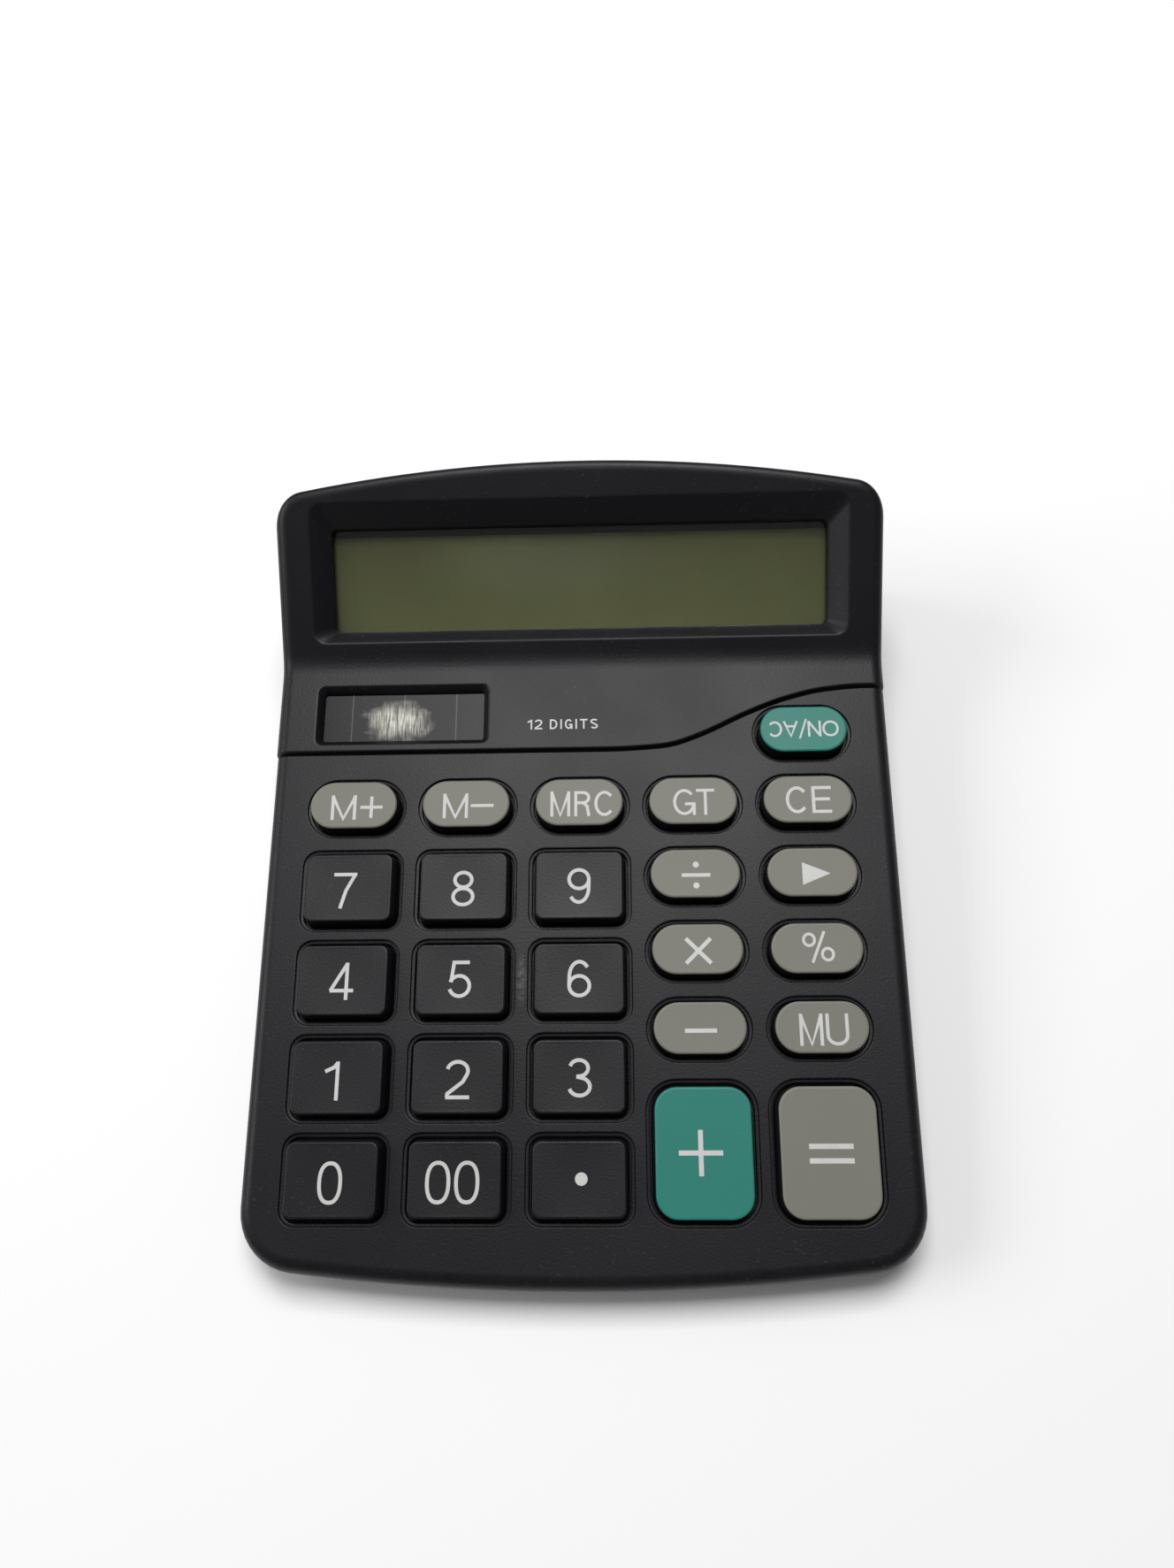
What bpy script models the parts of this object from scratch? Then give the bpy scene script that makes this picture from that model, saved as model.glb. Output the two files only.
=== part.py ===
"""A desk calculator with a raised display head, modelled as its separate pieces.

Metres, +Z up, +X to the user's right, +Y to the rear. The origin is on the table, under the middle of the
body. The key deck and the display head are two flat planes that slope up to the rear, so their pieces are
placed in the deck frame and the head frame: x to the right, y up the slope, z out of the surface.
"""

import math

import bmesh
import bpy
from mathutils import Matrix, Vector

MM = 0.001

# The body: a plan outline with parallel sides and bowed ends.
BODY_WIDTH = 117.8 * MM
BODY_LENGTH = 147.2 * MM
FRONT_BOW_RADIUS = 431 * MM
REAR_BOW_RADIUS = 360 * MM
FRONT_CORNER_RADIUS = 10.5 * MM
REAR_CORNER_RADIUS = 6 * MM
EDGE_ROUND = 2.4 * MM
WALL = 2.0 * MM
GAP = 0.3 * MM

# The two sloping planes.
DECK_SLOPE = math.radians(4.5)
HEAD_SLOPE = math.radians(30.5)
DECK_ORIGIN = Vector((0, 10.64, 17.12)) * MM
DECK_THICKNESS = 1.8 * MM
BAND_RISE = 0.9 * MM
BAND_SIDE_INSET = 1.2 * MM
BAND_FRONT = 11.3 * MM
BAND_STEP = 12.3 * MM
BAND_CURVE = (10 * MM, 52 * MM)
FOLD_Y = 29.3 * MM
PARTING_DEPTH = 5.5 * MM
LIP = (1.3 * MM, 1.4 * MM)

# The display, in the head frame.
RECESS = (104.0 * MM, 4.4 * MM, 31.1 * MM)
OPENING = (95.9 * MM, 6.7 * MM, 26.2 * MM)
RECESS_DEPTH = 2.75 * MM
LEDGE_DEPTH = 4.1 * MM
LENS_SIZE = (98.2 * MM, 21.6 * MM)
LENS_CENTRE_Y = 16.45 * MM
LENS_THICKNESS = 1.0 * MM
LCD_THICKNESS = 2.0 * MM
BLOCK = (102.0 * MM, 2.8 * MM, 29.2 * MM)
BLOCK_DEPTH = LEDGE_DEPTH + GAP + LENS_THICKNESS + GAP + LCD_THICKNESS
HOLDER = (98.0 * MM, 9.0 * MM, 27.0 * MM)
HOLDER_EAR = (36.0 * MM, 26.0 * MM, 30.6 * MM)
HOLDER_THICKNESS = 1.0 * MM
HOLDER_SCREW_X = 15 * MM
HOLDER_SCREW_Y = 28.9 * MM

# The solar cell, in the deck frame.
SOLAR_CENTRE = (-34.35 * MM, 18.75 * MM)
SOLAR_OPENING = (32.5 * MM, 11.5 * MM)
SOLAR_DRAFT = 1.1 * MM
SOLAR_DEPTH = 0.7 * MM
SOLAR_CELL = (34.6 * MM, 13.0 * MM)
SOLAR_CELL_THICKNESS = 1.1 * MM

# The keys, in the deck frame: columns and rows from the middle of the row of oval memory keys.
COLUMN_PITCH = 21.2 * MM
NUMBER_PITCH = 16.95 * MM
FIRST_NUMBER_ROW = -15.85 * MM
OVAL_PITCH = 13.87 * MM
TALL_KEY_ROW = -62.4 * MM
ON_KEY_ROW = 13.9 * MM
KEY_RISE = 2.6 * MM
KEY_DRAFT = 0.58 * MM
KEY_TRAVEL = 1.2 * MM
KEY_SKIN = 1.2 * MM
KEY_BASE = -(DECK_THICKNESS + GAP)
FLANGE = 0.8 * MM
FLANGE_THICKNESS = 0.8 * MM
KEY_BOTTOM = KEY_BASE - FLANGE_THICKNESS
KEY_GAP = 0.4 * MM
KEY_LEDGE = (0.6 * MM, 0.5 * MM)
PLUNGER_RADIUS = 2.0 * MM
NUMBER_KEY = (15.9 * MM, 12.45 * MM, 1.4 * MM)
OVAL_KEY = (15.8 * MM, 8.5 * MM, 4.2 * MM)
TALL_KEY = (16.5 * MM, 21.5 * MM, 3.8 * MM)

# The stack under the deck.
DOME_HEIGHT = 1.5 * MM
DOME_RADII = (3.4 * MM, 2.2 * MM)
MAT_TOP = KEY_BOTTOM - GAP - DOME_HEIGHT
MAT_THICKNESS = 0.6 * MM
MAT_SIZE = (103.0 * MM, -72.5 * MM, 19.5 * MM)
BOARD_TOP = MAT_TOP - MAT_THICKNESS - GAP
BOARD_THICKNESS = 1.0 * MM
BOARD_BOTTOM = BOARD_TOP - BOARD_THICKNESS
BOARD_SIZE = (112.2 * MM, -73.0 * MM, 25.0 * MM)
POST_RADIUS = 1.7 * MM
BOARD_SCREWS = {
    "board_screw_front_left": (-54.3 * MM, -58 * MM),
    "board_screw_front_right": (54.3 * MM, -58 * MM),
    "board_screw_rear_left": (-54.3 * MM, 12 * MM),
    "board_screw_rear_right": (54.3 * MM, 12 * MM),
}

# The lower case and what the calculator stands on.
FLOOR_BOTTOM = 1.2 * MM
FLOOR_TOP = 3.0 * MM
FOOT_RADIUS = 5.0 * MM
FOOT_HEIGHT = 1.6 * MM
FEET = {
    "foot_front_left": (-46 * MM, -54 * MM),
    "foot_front_right": (46 * MM, -54 * MM),
    "foot_rear_left": (-47 * MM, 52 * MM),
    "foot_rear_right": (47 * MM, 52 * MM),
}
CASE_SCREWS = {
    "case_screw_front_left": (-45 * MM, -66.6 * MM),
    "case_screw_front_right": (45 * MM, -66.6 * MM),
    "case_screw_middle_left": (-53.7 * MM, 40.8 * MM),
    "case_screw_middle_right": (53.7 * MM, 40.8 * MM),
    "case_screw_rear_left": (-53.9 * MM, 62.5 * MM),
    "case_screw_rear_right": (53.9 * MM, 62.5 * MM),
}
BOSS_RADIUS = 2.3 * MM
LOWER_BOSS_TOP = 5.2 * MM
COUNTERBORE_TOP = 3.4 * MM
SCREW_HOLE = 1.25 * MM

# The battery: one AA cell lying along X over the sliding cover.
CELL_RADIUS = 7.1 * MM
CELL_Y = 58.2 * MM
CELL_Z = 10.7 * MM
CELL_ENDS = (-22.5 * MM, 26.7 * MM)
CELL_NUB = (2.7 * MM, 1.3 * MM)
BAY_HALF = (29.2 * MM, 8.0 * MM)
BAY_WALL = 1.4 * MM
BAY_TOP = 12.0 * MM
COVER_HALF_WIDTH = 29.7 * MM
COVER_FRONT = 50.6 * MM
COVER_TOP = 6.0 * MM
COVER_INNER_REAR = 69.6 * MM
TONGUE = (1.2 * MM, 2.1 * MM, 3.0 * MM)

BLACK = ("black_plastic", (0.012, 0.012, 0.014, 1), 0.45, 0)
GREY = ("grey_plastic", (0.24, 0.235, 0.205, 1), 0.5, 0)
TEAL = ("teal_plastic", (0.028, 0.24, 0.195, 1), 0.45, 0)
CLEAR = ("clear_plastic", (0.85, 0.88, 0.86, 1), 0.05, 0)
OLIVE = ("lcd_glass", (0.1, 0.105, 0.05, 1), 0.15, 0)
SILICON = ("solar_glass", (0.03, 0.03, 0.035, 1), 0.2, 0)
RUBBER = ("rubber", (0.02, 0.02, 0.02, 1), 0.85, 0)
SILICONE = ("silicone", (0.42, 0.42, 0.4, 1), 0.7, 0)
BOARD = ("board", (0.28, 0.14, 0.05, 1), 0.55, 0)
STEEL = ("steel", (0.6, 0.6, 0.58, 1), 0.3, 1)
JACKET = ("cell_jacket", (0.05, 0.16, 0.4, 1), 0.35, 0)
RED = ("red_wire", (0.45, 0.02, 0.02, 1), 0.5, 0)
FILM = ("film", (0.35, 0.2, 0.06, 1), 0.4, 0)


def clear_scene():
    for obj in list(bpy.data.objects):
        bpy.data.objects.remove(obj)


def new_collection(name):
    found = bpy.data.collections.new(name)
    bpy.context.scene.collection.children.link(found)
    return found


def new_frame(name, location, slope):
    """An empty that holds the pieces of one sloping plane."""
    empty = bpy.data.objects.new(name, None)
    empty.location = location
    empty.rotation_euler = (slope, 0, 0)
    parts.objects.link(empty)
    return empty


def material(finish):
    name, colour, roughness, metallic = finish
    found = bpy.data.materials.get(name)
    if found is None:
        found = bpy.data.materials.new(name)
        found.use_nodes = True
        shader = found.node_tree.nodes["Principled BSDF"]
        shader.inputs["Base Color"].default_value = colour
        shader.inputs["Roughness"].default_value = roughness
        shader.inputs["Metallic"].default_value = metallic
    return found


def add(name, mesh, finish=None, frame=None, location=(0, 0, 0)):
    """A piece if it has a finish, and a hidden helper if it has none."""
    obj = bpy.data.objects.new(name, mesh)
    obj.parent = frame
    obj.location = location
    if finish:
        parts.objects.link(obj)
        if not mesh.materials:
            mesh.materials.append(None)
        obj.material_slots[0].link = "OBJECT"
        obj.material_slots[0].material = material(finish)
    else:
        cutters.objects.link(obj)
        obj.hide_render = True
        obj.display_type = "WIRE"
    return obj


def boolean(obj, other, operation):
    modifier = obj.modifiers.new(operation.lower(), "BOOLEAN")
    modifier.operation = operation
    modifier.object = other


def cut(obj, other):
    boolean(obj, other, "DIFFERENCE")


def join(obj, other):
    boolean(obj, other, "UNION")


def overlap(obj, other):
    boolean(obj, other, "INTERSECT")


def evaluated_mesh(obj):
    bpy.context.view_layer.update()
    graph = bpy.context.evaluated_depsgraph_get()
    return bpy.data.meshes.new_from_object(obj.evaluated_get(graph))


def mesh_from(name, build):
    shape = bmesh.new()
    build(shape)
    mesh = bpy.data.meshes.new(name)
    shape.to_mesh(mesh)
    shape.free()
    return mesh


def curve_mesh(curve):
    """A curve made into a mesh with its caps joined to its sides."""
    helper = bpy.data.objects.new(curve.name, curve)
    bpy.context.scene.collection.objects.link(helper)
    mesh = evaluated_mesh(helper)
    bpy.data.objects.remove(helper)
    shape = bmesh.new()
    shape.from_mesh(mesh)
    bmesh.ops.remove_doubles(shape, verts=shape.verts, dist=0.00001)
    bmesh.ops.recalc_face_normals(shape, faces=shape.faces)
    shape.to_mesh(mesh)
    shape.free()
    mesh.materials.clear()
    return mesh


def prism_mesh(name, points, low, high):
    """A flat outline extruded from z = low to z = high."""
    curve = bpy.data.curves.new(name, "CURVE")
    curve.dimensions = "2D"
    curve.fill_mode = "BOTH"
    curve.extrude = (high - low) / 2
    spline = curve.splines.new("POLY")
    spline.points.add(len(points) - 1)
    for place, (x, y) in zip(spline.points, points):
        place.co = (x, y, 0, 1)
    spline.use_cyclic_u = True
    mesh = curve_mesh(curve)
    mesh.transform(Matrix.Translation((0, 0, (low + high) / 2)))
    return mesh


def prism(name, points, low, high, finish=None, frame=None, location=(0, 0, 0)):
    return add(name, prism_mesh(name, points, low, high), finish, frame, location)


def side_prism(name, points, half_width, finish=None):
    """An outline in the y-z plane, extruded across the body."""
    mesh = prism_mesh(name, points, -half_width, half_width)
    mesh.transform(Matrix(((0, 0, 1, 0), (1, 0, 0, 0), (0, 1, 0, 0), (0, 0, 0, 1))))
    return add(name, mesh, finish)


def drafted_mesh(name, points, low, high, inset):
    """A prism whose upper end is drawn in by the inset, as on a moulding with draft."""
    mesh = prism_mesh(name, points, low, high)
    half_x = max(x for x, _ in points)
    half_y = max(y for _, y in points)
    for vertex in mesh.vertices:
        if vertex.co.z > (low + high) / 2:
            vertex.co.x *= 1 - inset / half_x
            vertex.co.y *= 1 - inset / half_y
    return mesh


def stepped_mesh(name, lower, upper, bottom, step, top):
    """A prism on one outline up to the step, and on another with as many points above it."""
    levels = ((lower, bottom), (lower, step), (upper, step), (upper, top))

    def build(shape):
        rings = [[shape.verts.new((x, y, z)) for x, y in outline] for outline, z in levels]
        for below, above in zip(rings, rings[1:]):
            for i in range(len(below)):
                shape.faces.new((below[i - 1], below[i], above[i], above[i - 1]))
        shape.faces.new(rings[0][::-1])
        shape.faces.new(rings[-1])
        bmesh.ops.recalc_face_normals(shape, faces=shape.faces)

    return mesh_from(name, build)


def gathered(name, meshes, places, frame=None):
    """One helper from copies of meshes that don't touch, each at its own place."""

    def build(shape):
        for mesh, place in zip(meshes, places):
            copy = mesh.copy()
            copy.transform(Matrix.Translation(place))
            shape.from_mesh(copy)
            bpy.data.meshes.remove(copy)

    return add(name, mesh_from(name, build), None, frame)


def box_mesh(name, low, high):
    def build(shape):
        size = Vector(high) - Vector(low)
        place = Matrix.Translation((Vector(high) + Vector(low)) / 2) @ Matrix.Diagonal((*size, 1))
        bmesh.ops.create_cube(shape, size=1, matrix=place)

    return mesh_from(name, build)


def box(name, low, high, finish=None, frame=None, location=(0, 0, 0)):
    return add(name, box_mesh(name, low, high), finish, frame, location)


def cone_mesh(name, radius, low, high, top_radius=None, sides=14, axis="Z"):
    def build(shape):
        place = Matrix.Translation((0, 0, (low + high) / 2))
        if axis == "X":
            place = Matrix.Rotation(math.pi / 2, 4, "Y") @ place
        bmesh.ops.create_cone(
            shape,
            cap_ends=True,
            segments=sides,
            radius1=radius,
            radius2=radius if top_radius is None else top_radius,
            depth=high - low,
            matrix=place,
        )

    return mesh_from(name, build)


def cylinder(name, radius, low, high, finish=None, frame=None, location=(0, 0, 0), sides=14, axis="Z"):
    mesh = cone_mesh(name, radius, low, high, sides=sides, axis=axis)
    return add(name, mesh, finish, frame, location)


def arc(centre, radius, start, end, steps):
    points = []
    for step in range(steps + 1):
        angle = start + (end - start) * step / steps
        points.append((centre[0] + radius * math.cos(angle), centre[1] + radius * math.sin(angle)))
    return points


def rounded_rectangle(width, height, radius, steps=2):
    points = []
    for quarter, (side_x, side_y) in enumerate(((1, 1), (-1, 1), (-1, -1), (1, -1))):
        centre = (side_x * (width / 2 - radius), side_y * (height / 2 - radius))
        start = quarter * math.pi / 2
        points += arc(centre, radius, start, start + math.pi / 2, steps)
    return points


def grown(size, amount):
    """A key's width, height and corner radius, grown by the amount on each side."""
    width, height, radius = size
    return width + 2 * amount, height + 2 * amount, radius + amount


def body_outline(inset=0.0, corner_steps=4, bow_steps=6):
    """The plan outline, counter-clockwise. Its arcs keep their centres as it is drawn in."""
    points = []
    for side, bow, corner in ((-1, FRONT_BOW_RADIUS, FRONT_CORNER_RADIUS), (1, REAR_BOW_RADIUS, REAR_CORNER_RADIUS)):
        bow_centre = (0, side * (BODY_LENGTH / 2 - bow))
        corner_x = BODY_WIDTH / 2 - corner
        corner_y = bow_centre[1] + side * math.sqrt((bow - corner) ** 2 - corner_x**2)
        lean = math.asin(corner_x / (bow - corner))
        middle = side * math.pi / 2
        first = (side * corner_x, corner_y)
        second = (-side * corner_x, corner_y)
        points += arc(first, corner - inset, middle - math.pi / 2, middle - lean, corner_steps)
        points += arc(bow_centre, bow - inset, middle - lean, middle + lean, bow_steps)[1:-1]
        points += arc(second, corner - inset, middle + lean, middle + math.pi / 2, corner_steps)
    return points


def on_slope(origin, slope, along, out):
    """World y and z of a point that lies along a sloping plane and out of it."""
    y = origin[0] + along * math.cos(slope) - out * math.sin(slope)
    z = origin[1] + along * math.sin(slope) + out * math.cos(slope)
    return y, z


def on_deck(along, out):
    return on_slope((DECK_ORIGIN.y, DECK_ORIGIN.z), DECK_SLOPE, along, out)


def on_head(along, out):
    return on_slope(HEAD_ORIGIN, HEAD_SLOPE, along, out)


def meeting_point(deck_out, head_out):
    """Where a plane parallel to the deck meets a plane parallel to the head, as a distance up the deck."""
    turn = HEAD_SLOPE - DECK_SLOPE
    return FOLD_Y + (deck_out - BAND_RISE - head_out / math.cos(turn)) / math.tan(turn)


def side_profile(bottom, deck_out, head_out):
    """The section between a level bottom and planes parallel to the deck and, unless it is None, the head."""
    if head_out is None:
        roof = [on_deck(90 * MM, deck_out)]
    else:
        roof = [on_head(60 * MM, head_out), on_deck(meeting_point(deck_out, head_out), deck_out)]
    roof.append(on_deck(-100 * MM, deck_out))
    return [(roof[-1][0], bottom), (roof[0][0], bottom), *roof]


def body_blank(name, inset, bottom, deck_out, head_out, edge_round=0.0):
    """The whole body as one block, drawn in from its plan outline by the inset."""
    blank = prism("plan", body_outline(inset), bottom - 5 * MM, 60 * MM)
    profile = side_prism("profile", side_profile(bottom, deck_out, head_out), 80 * MM)
    overlap(blank, profile)
    if edge_round:
        bevel = blank.modifiers.new("edge", "BEVEL")
        bevel.width = edge_round
        bevel.segments = 3
        bevel.limit_method = "ANGLE"
        bevel.angle_limit = math.radians(30)
    mesh = evaluated_mesh(blank)
    mesh.name = name
    bpy.data.objects.remove(blank)
    bpy.data.objects.remove(profile)
    return mesh


def key_places():
    """Each key's name, shape, colour, column and row."""
    numbers = (
        ("key_7", "key_8", "key_9"),
        ("key_4", "key_5", "key_6"),
        ("key_1", "key_2", "key_3"),
        ("key_0", "key_00", "key_point"),
    )
    ovals = (
        ("key_memory_recall", "key_grand_total", "key_clear_entry"),
        (None, "key_divide", "key_backspace"),
        (None, "key_multiply", "key_percent"),
        (None, "key_minus", "key_markup"),
    )
    places = [
        ("key_on_clear", OVAL_KEY, TEAL, 2, ON_KEY_ROW),
        ("key_memory_add", OVAL_KEY, GREY, -2, 0),
        ("key_memory_subtract", OVAL_KEY, GREY, -1, 0),
        ("key_plus", TALL_KEY, TEAL, 1, TALL_KEY_ROW),
        ("key_equals", TALL_KEY, GREY, 2, TALL_KEY_ROW),
    ]
    for row, names in enumerate(numbers):
        for column, name in enumerate(names):
            places.append((name, NUMBER_KEY, BLACK, column - 2, FIRST_NUMBER_ROW - row * NUMBER_PITCH))
    for row, names in enumerate(ovals):
        for column, name in enumerate(names):
            if name:
                places.append((name, OVAL_KEY, GREY, column, -row * OVAL_PITCH))
    return [(name, shape, colour, (column * COLUMN_PITCH, row)) for name, shape, colour, column, row in places]


def key_mesh(name, shape):
    """A hollow cap with draft, a flange that holds it under the deck, and a plunger over its dome."""
    cap_base = grown(shape, KEY_DRAFT)
    key = add(name, drafted_mesh(name, rounded_rectangle(*cap_base), KEY_BASE - 0.2 * MM, KEY_RISE, KEY_DRAFT))
    flange_outline = rounded_rectangle(*grown(shape, KEY_DRAFT + KEY_GAP + FLANGE))
    helpers = [
        (join, prism("flange", flange_outline, KEY_BOTTOM, KEY_BASE)),
        (cut, prism("hollow", rounded_rectangle(*grown(shape, KEY_DRAFT - KEY_SKIN), 1), -9 * MM, KEY_RISE - KEY_SKIN)),
        (join, cylinder("plunger", PLUNGER_RADIUS, KEY_BOTTOM, KEY_RISE - KEY_SKIN / 2, sides=8)),
    ]
    for operation, helper in helpers:
        operation(key, helper)
    mesh = evaluated_mesh(key)
    mesh.name = name
    for obj in (key, *(helper for _, helper in helpers)):
        bpy.data.objects.remove(obj)
    return mesh


def make_keys():
    meshes = {}
    for name, shape, colour, (x, y) in key_places():
        if shape not in meshes:
            meshes[shape] = key_mesh("key_shape", shape)
        add(name, meshes[shape], colour, deck_frame, (x, y, 0))


def frustum_mesh(name, upper, lower, top, bottom):
    """A block with unlike rectangular ends, each given as its width and its two ends along y."""
    mesh = box_mesh(name, (-0.5, 0, 0), (0.5, 1, 1))
    for vertex in mesh.vertices:
        width, first, last = upper if vertex.co.z > 0.5 else lower
        vertex.co = (
            vertex.co.x * width,
            last if vertex.co.y > 0.5 else first,
            top if vertex.co.z > 0.5 else bottom,
        )
    return mesh


def band_helper():
    """The raised band between the keys and the head, with its front edge in an S-curve."""
    half = BODY_WIDTH / 2 - BAND_SIDE_INSET
    steps = 10
    outline = [(half, FOLD_Y + 8 * MM), (-half, FOLD_Y + 8 * MM), (-half, BAND_FRONT)]
    for step in range(steps + 1):
        share = step / steps
        x = BAND_CURVE[0] + share * (BAND_CURVE[1] - BAND_CURVE[0])
        outline.append((x, BAND_FRONT + BAND_STEP * share * share * (3 - 2 * share)))
    outline.append((half, BAND_FRONT + BAND_STEP))
    return prism("band", outline, -1.5 * MM, BAND_RISE, frame=deck_frame)


def make_upper_case():
    upper = add("upper_case", outer_body, BLACK)
    join(upper, band_helper())
    below = box("below", (-1, -1, -1), (1, 1, -PARTING_DEPTH), frame=deck_frame)
    cut(upper, below)
    hollow = body_blank("hollow", WALL, -5 * MM, -DECK_THICKNESS, -WALL)
    cut(upper, add("hollow", hollow))
    rebate_top = -PARTING_DEPTH + LIP[1] + GAP
    rebate = add("rebate", body_blank("rebate", LIP[0] - GAP, -5 * MM, rebate_top, None))
    cut(upper, rebate)

    # The display: a block that holds the lens and the glass, then its recess and opening.
    block = add("block", frustum_mesh("block", BLOCK, BLOCK, -1.0 * MM, -BLOCK_DEPTH), frame=head_frame)
    join(upper, block)
    slant = RECESS_DEPTH + 1 * MM
    share = slant / RECESS_DEPTH
    wide = [OPENING[i] + (RECESS[i] - OPENING[i]) * share for i in range(3)]
    cut(upper, add("recess", frustum_mesh("recess", wide, OPENING, 1 * MM, -RECESS_DEPTH), frame=head_frame))
    cut(upper, add("opening", frustum_mesh("opening", OPENING, OPENING, -1 * MM, -12 * MM), frame=head_frame))
    half_x = LENS_SIZE[0] / 2 + GAP
    half_y = LENS_SIZE[1] / 2 + GAP
    pocket = box("pocket", (-half_x, -half_y, -12 * MM), (half_x, half_y, -LEDGE_DEPTH), None, head_frame)
    pocket.location.y = LENS_CENTRE_Y
    cut(upper, pocket)
    places = [(side * HOLDER_SCREW_X, HOLDER_SCREW_Y, 0) for side in (-1, 1)]
    post = cone_mesh("holder_post", 1.6 * MM, -BLOCK_DEPTH, -2.4 * MM, sides=10)
    hole = cone_mesh("holder_hole", 1.0 * MM, -12 * MM, -4 * MM, sides=8)
    join(upper, gathered("holder_posts", [post] * 2, places, head_frame))
    cut(upper, gathered("holder_holes", [hole] * 2, places, head_frame))

    # The solar opening, and the seat of the cell under it.
    low = -SOLAR_DEPTH - 0.2 * MM
    high = BAND_RISE + 0.2 * MM
    rise = high - low
    outline = rounded_rectangle(SOLAR_OPENING[0], SOLAR_OPENING[1], 0.8 * MM, 1)
    mesh = prism_mesh("solar_opening", outline, low, high)
    for vertex in mesh.vertices:
        if vertex.co.z < 0:
            vertex.co.x *= 1 - SOLAR_DRAFT / (SOLAR_OPENING[0] / 2) * rise / (BAND_RISE + SOLAR_DEPTH)
            vertex.co.y *= 1 - SOLAR_DRAFT / (SOLAR_OPENING[1] / 2) * rise / (BAND_RISE + SOLAR_DEPTH)
    cut(upper, add("solar_opening", mesh, None, deck_frame, (*SOLAR_CENTRE, 0)))
    half_x = SOLAR_CELL[0] / 2 + GAP
    half_y = SOLAR_CELL[1] / 2 + GAP
    seat = box("seat", (-half_x, -half_y, -4 * MM), (half_x, half_y, -SOLAR_DEPTH), None, deck_frame)
    seat.location = (*SOLAR_CENTRE, 0)
    cut(upper, seat)

    # A hole for each key, with a ledge set down around it.
    deepest = -(DECK_THICKNESS + 1 * MM)
    holes = []
    centres = []
    for _, shape, _, (x, y) in key_places():
        hole = grown(shape, KEY_DRAFT + KEY_GAP - 0.15 * MM)
        ledge = grown(hole, KEY_LEDGE[0])
        outlines = rounded_rectangle(*hole), rounded_rectangle(*ledge)
        holes.append(stepped_mesh("hole", *outlines, deepest, -KEY_LEDGE[1], 1 * MM))
        centres.append((x, y, 0))
    cut(upper, gathered("key_holes", holes, centres, deck_frame))

    # Posts for the board, and bosses that meet those of the lower case.
    places = [(x, y, 0) for x, y in BOARD_SCREWS.values()]
    post = cone_mesh("post", POST_RADIUS, BOARD_TOP + GAP, -1 * MM, sides=10)
    hole = cone_mesh("post_hole", 1.0 * MM, BOARD_TOP - 1 * MM, -2.5 * MM, sides=8)
    join(upper, gathered("posts", [post] * len(places), places, deck_frame))
    cut(upper, gathered("post_holes", [hole] * len(places), places, deck_frame))
    places = [(x, y, 0) for x, y in CASE_SCREWS.values()]
    bosses = []
    boss_bottom = LOWER_BOSS_TOP + GAP
    for _, y, _ in places:
        ceiling = on_deck((y - DECK_ORIGIN.y) / math.cos(DECK_SLOPE), -DECK_THICKNESS)[1]
        if y > HEAD_ORIGIN[0]:
            ceiling = on_head((y - BOSS_RADIUS - HEAD_ORIGIN[0]) / math.cos(HEAD_SLOPE), -WALL)[1]
        bosses.append(cone_mesh("boss", BOSS_RADIUS, boss_bottom, ceiling + 0.9 * MM, sides=12))
    hole = cone_mesh("boss_hole", SCREW_HOLE, boss_bottom - 1 * MM, 8.9 * MM, sides=10)
    join(upper, gathered("bosses", bosses, places))
    cut(upper, gathered("boss_holes", [hole] * len(places), places))


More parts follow.
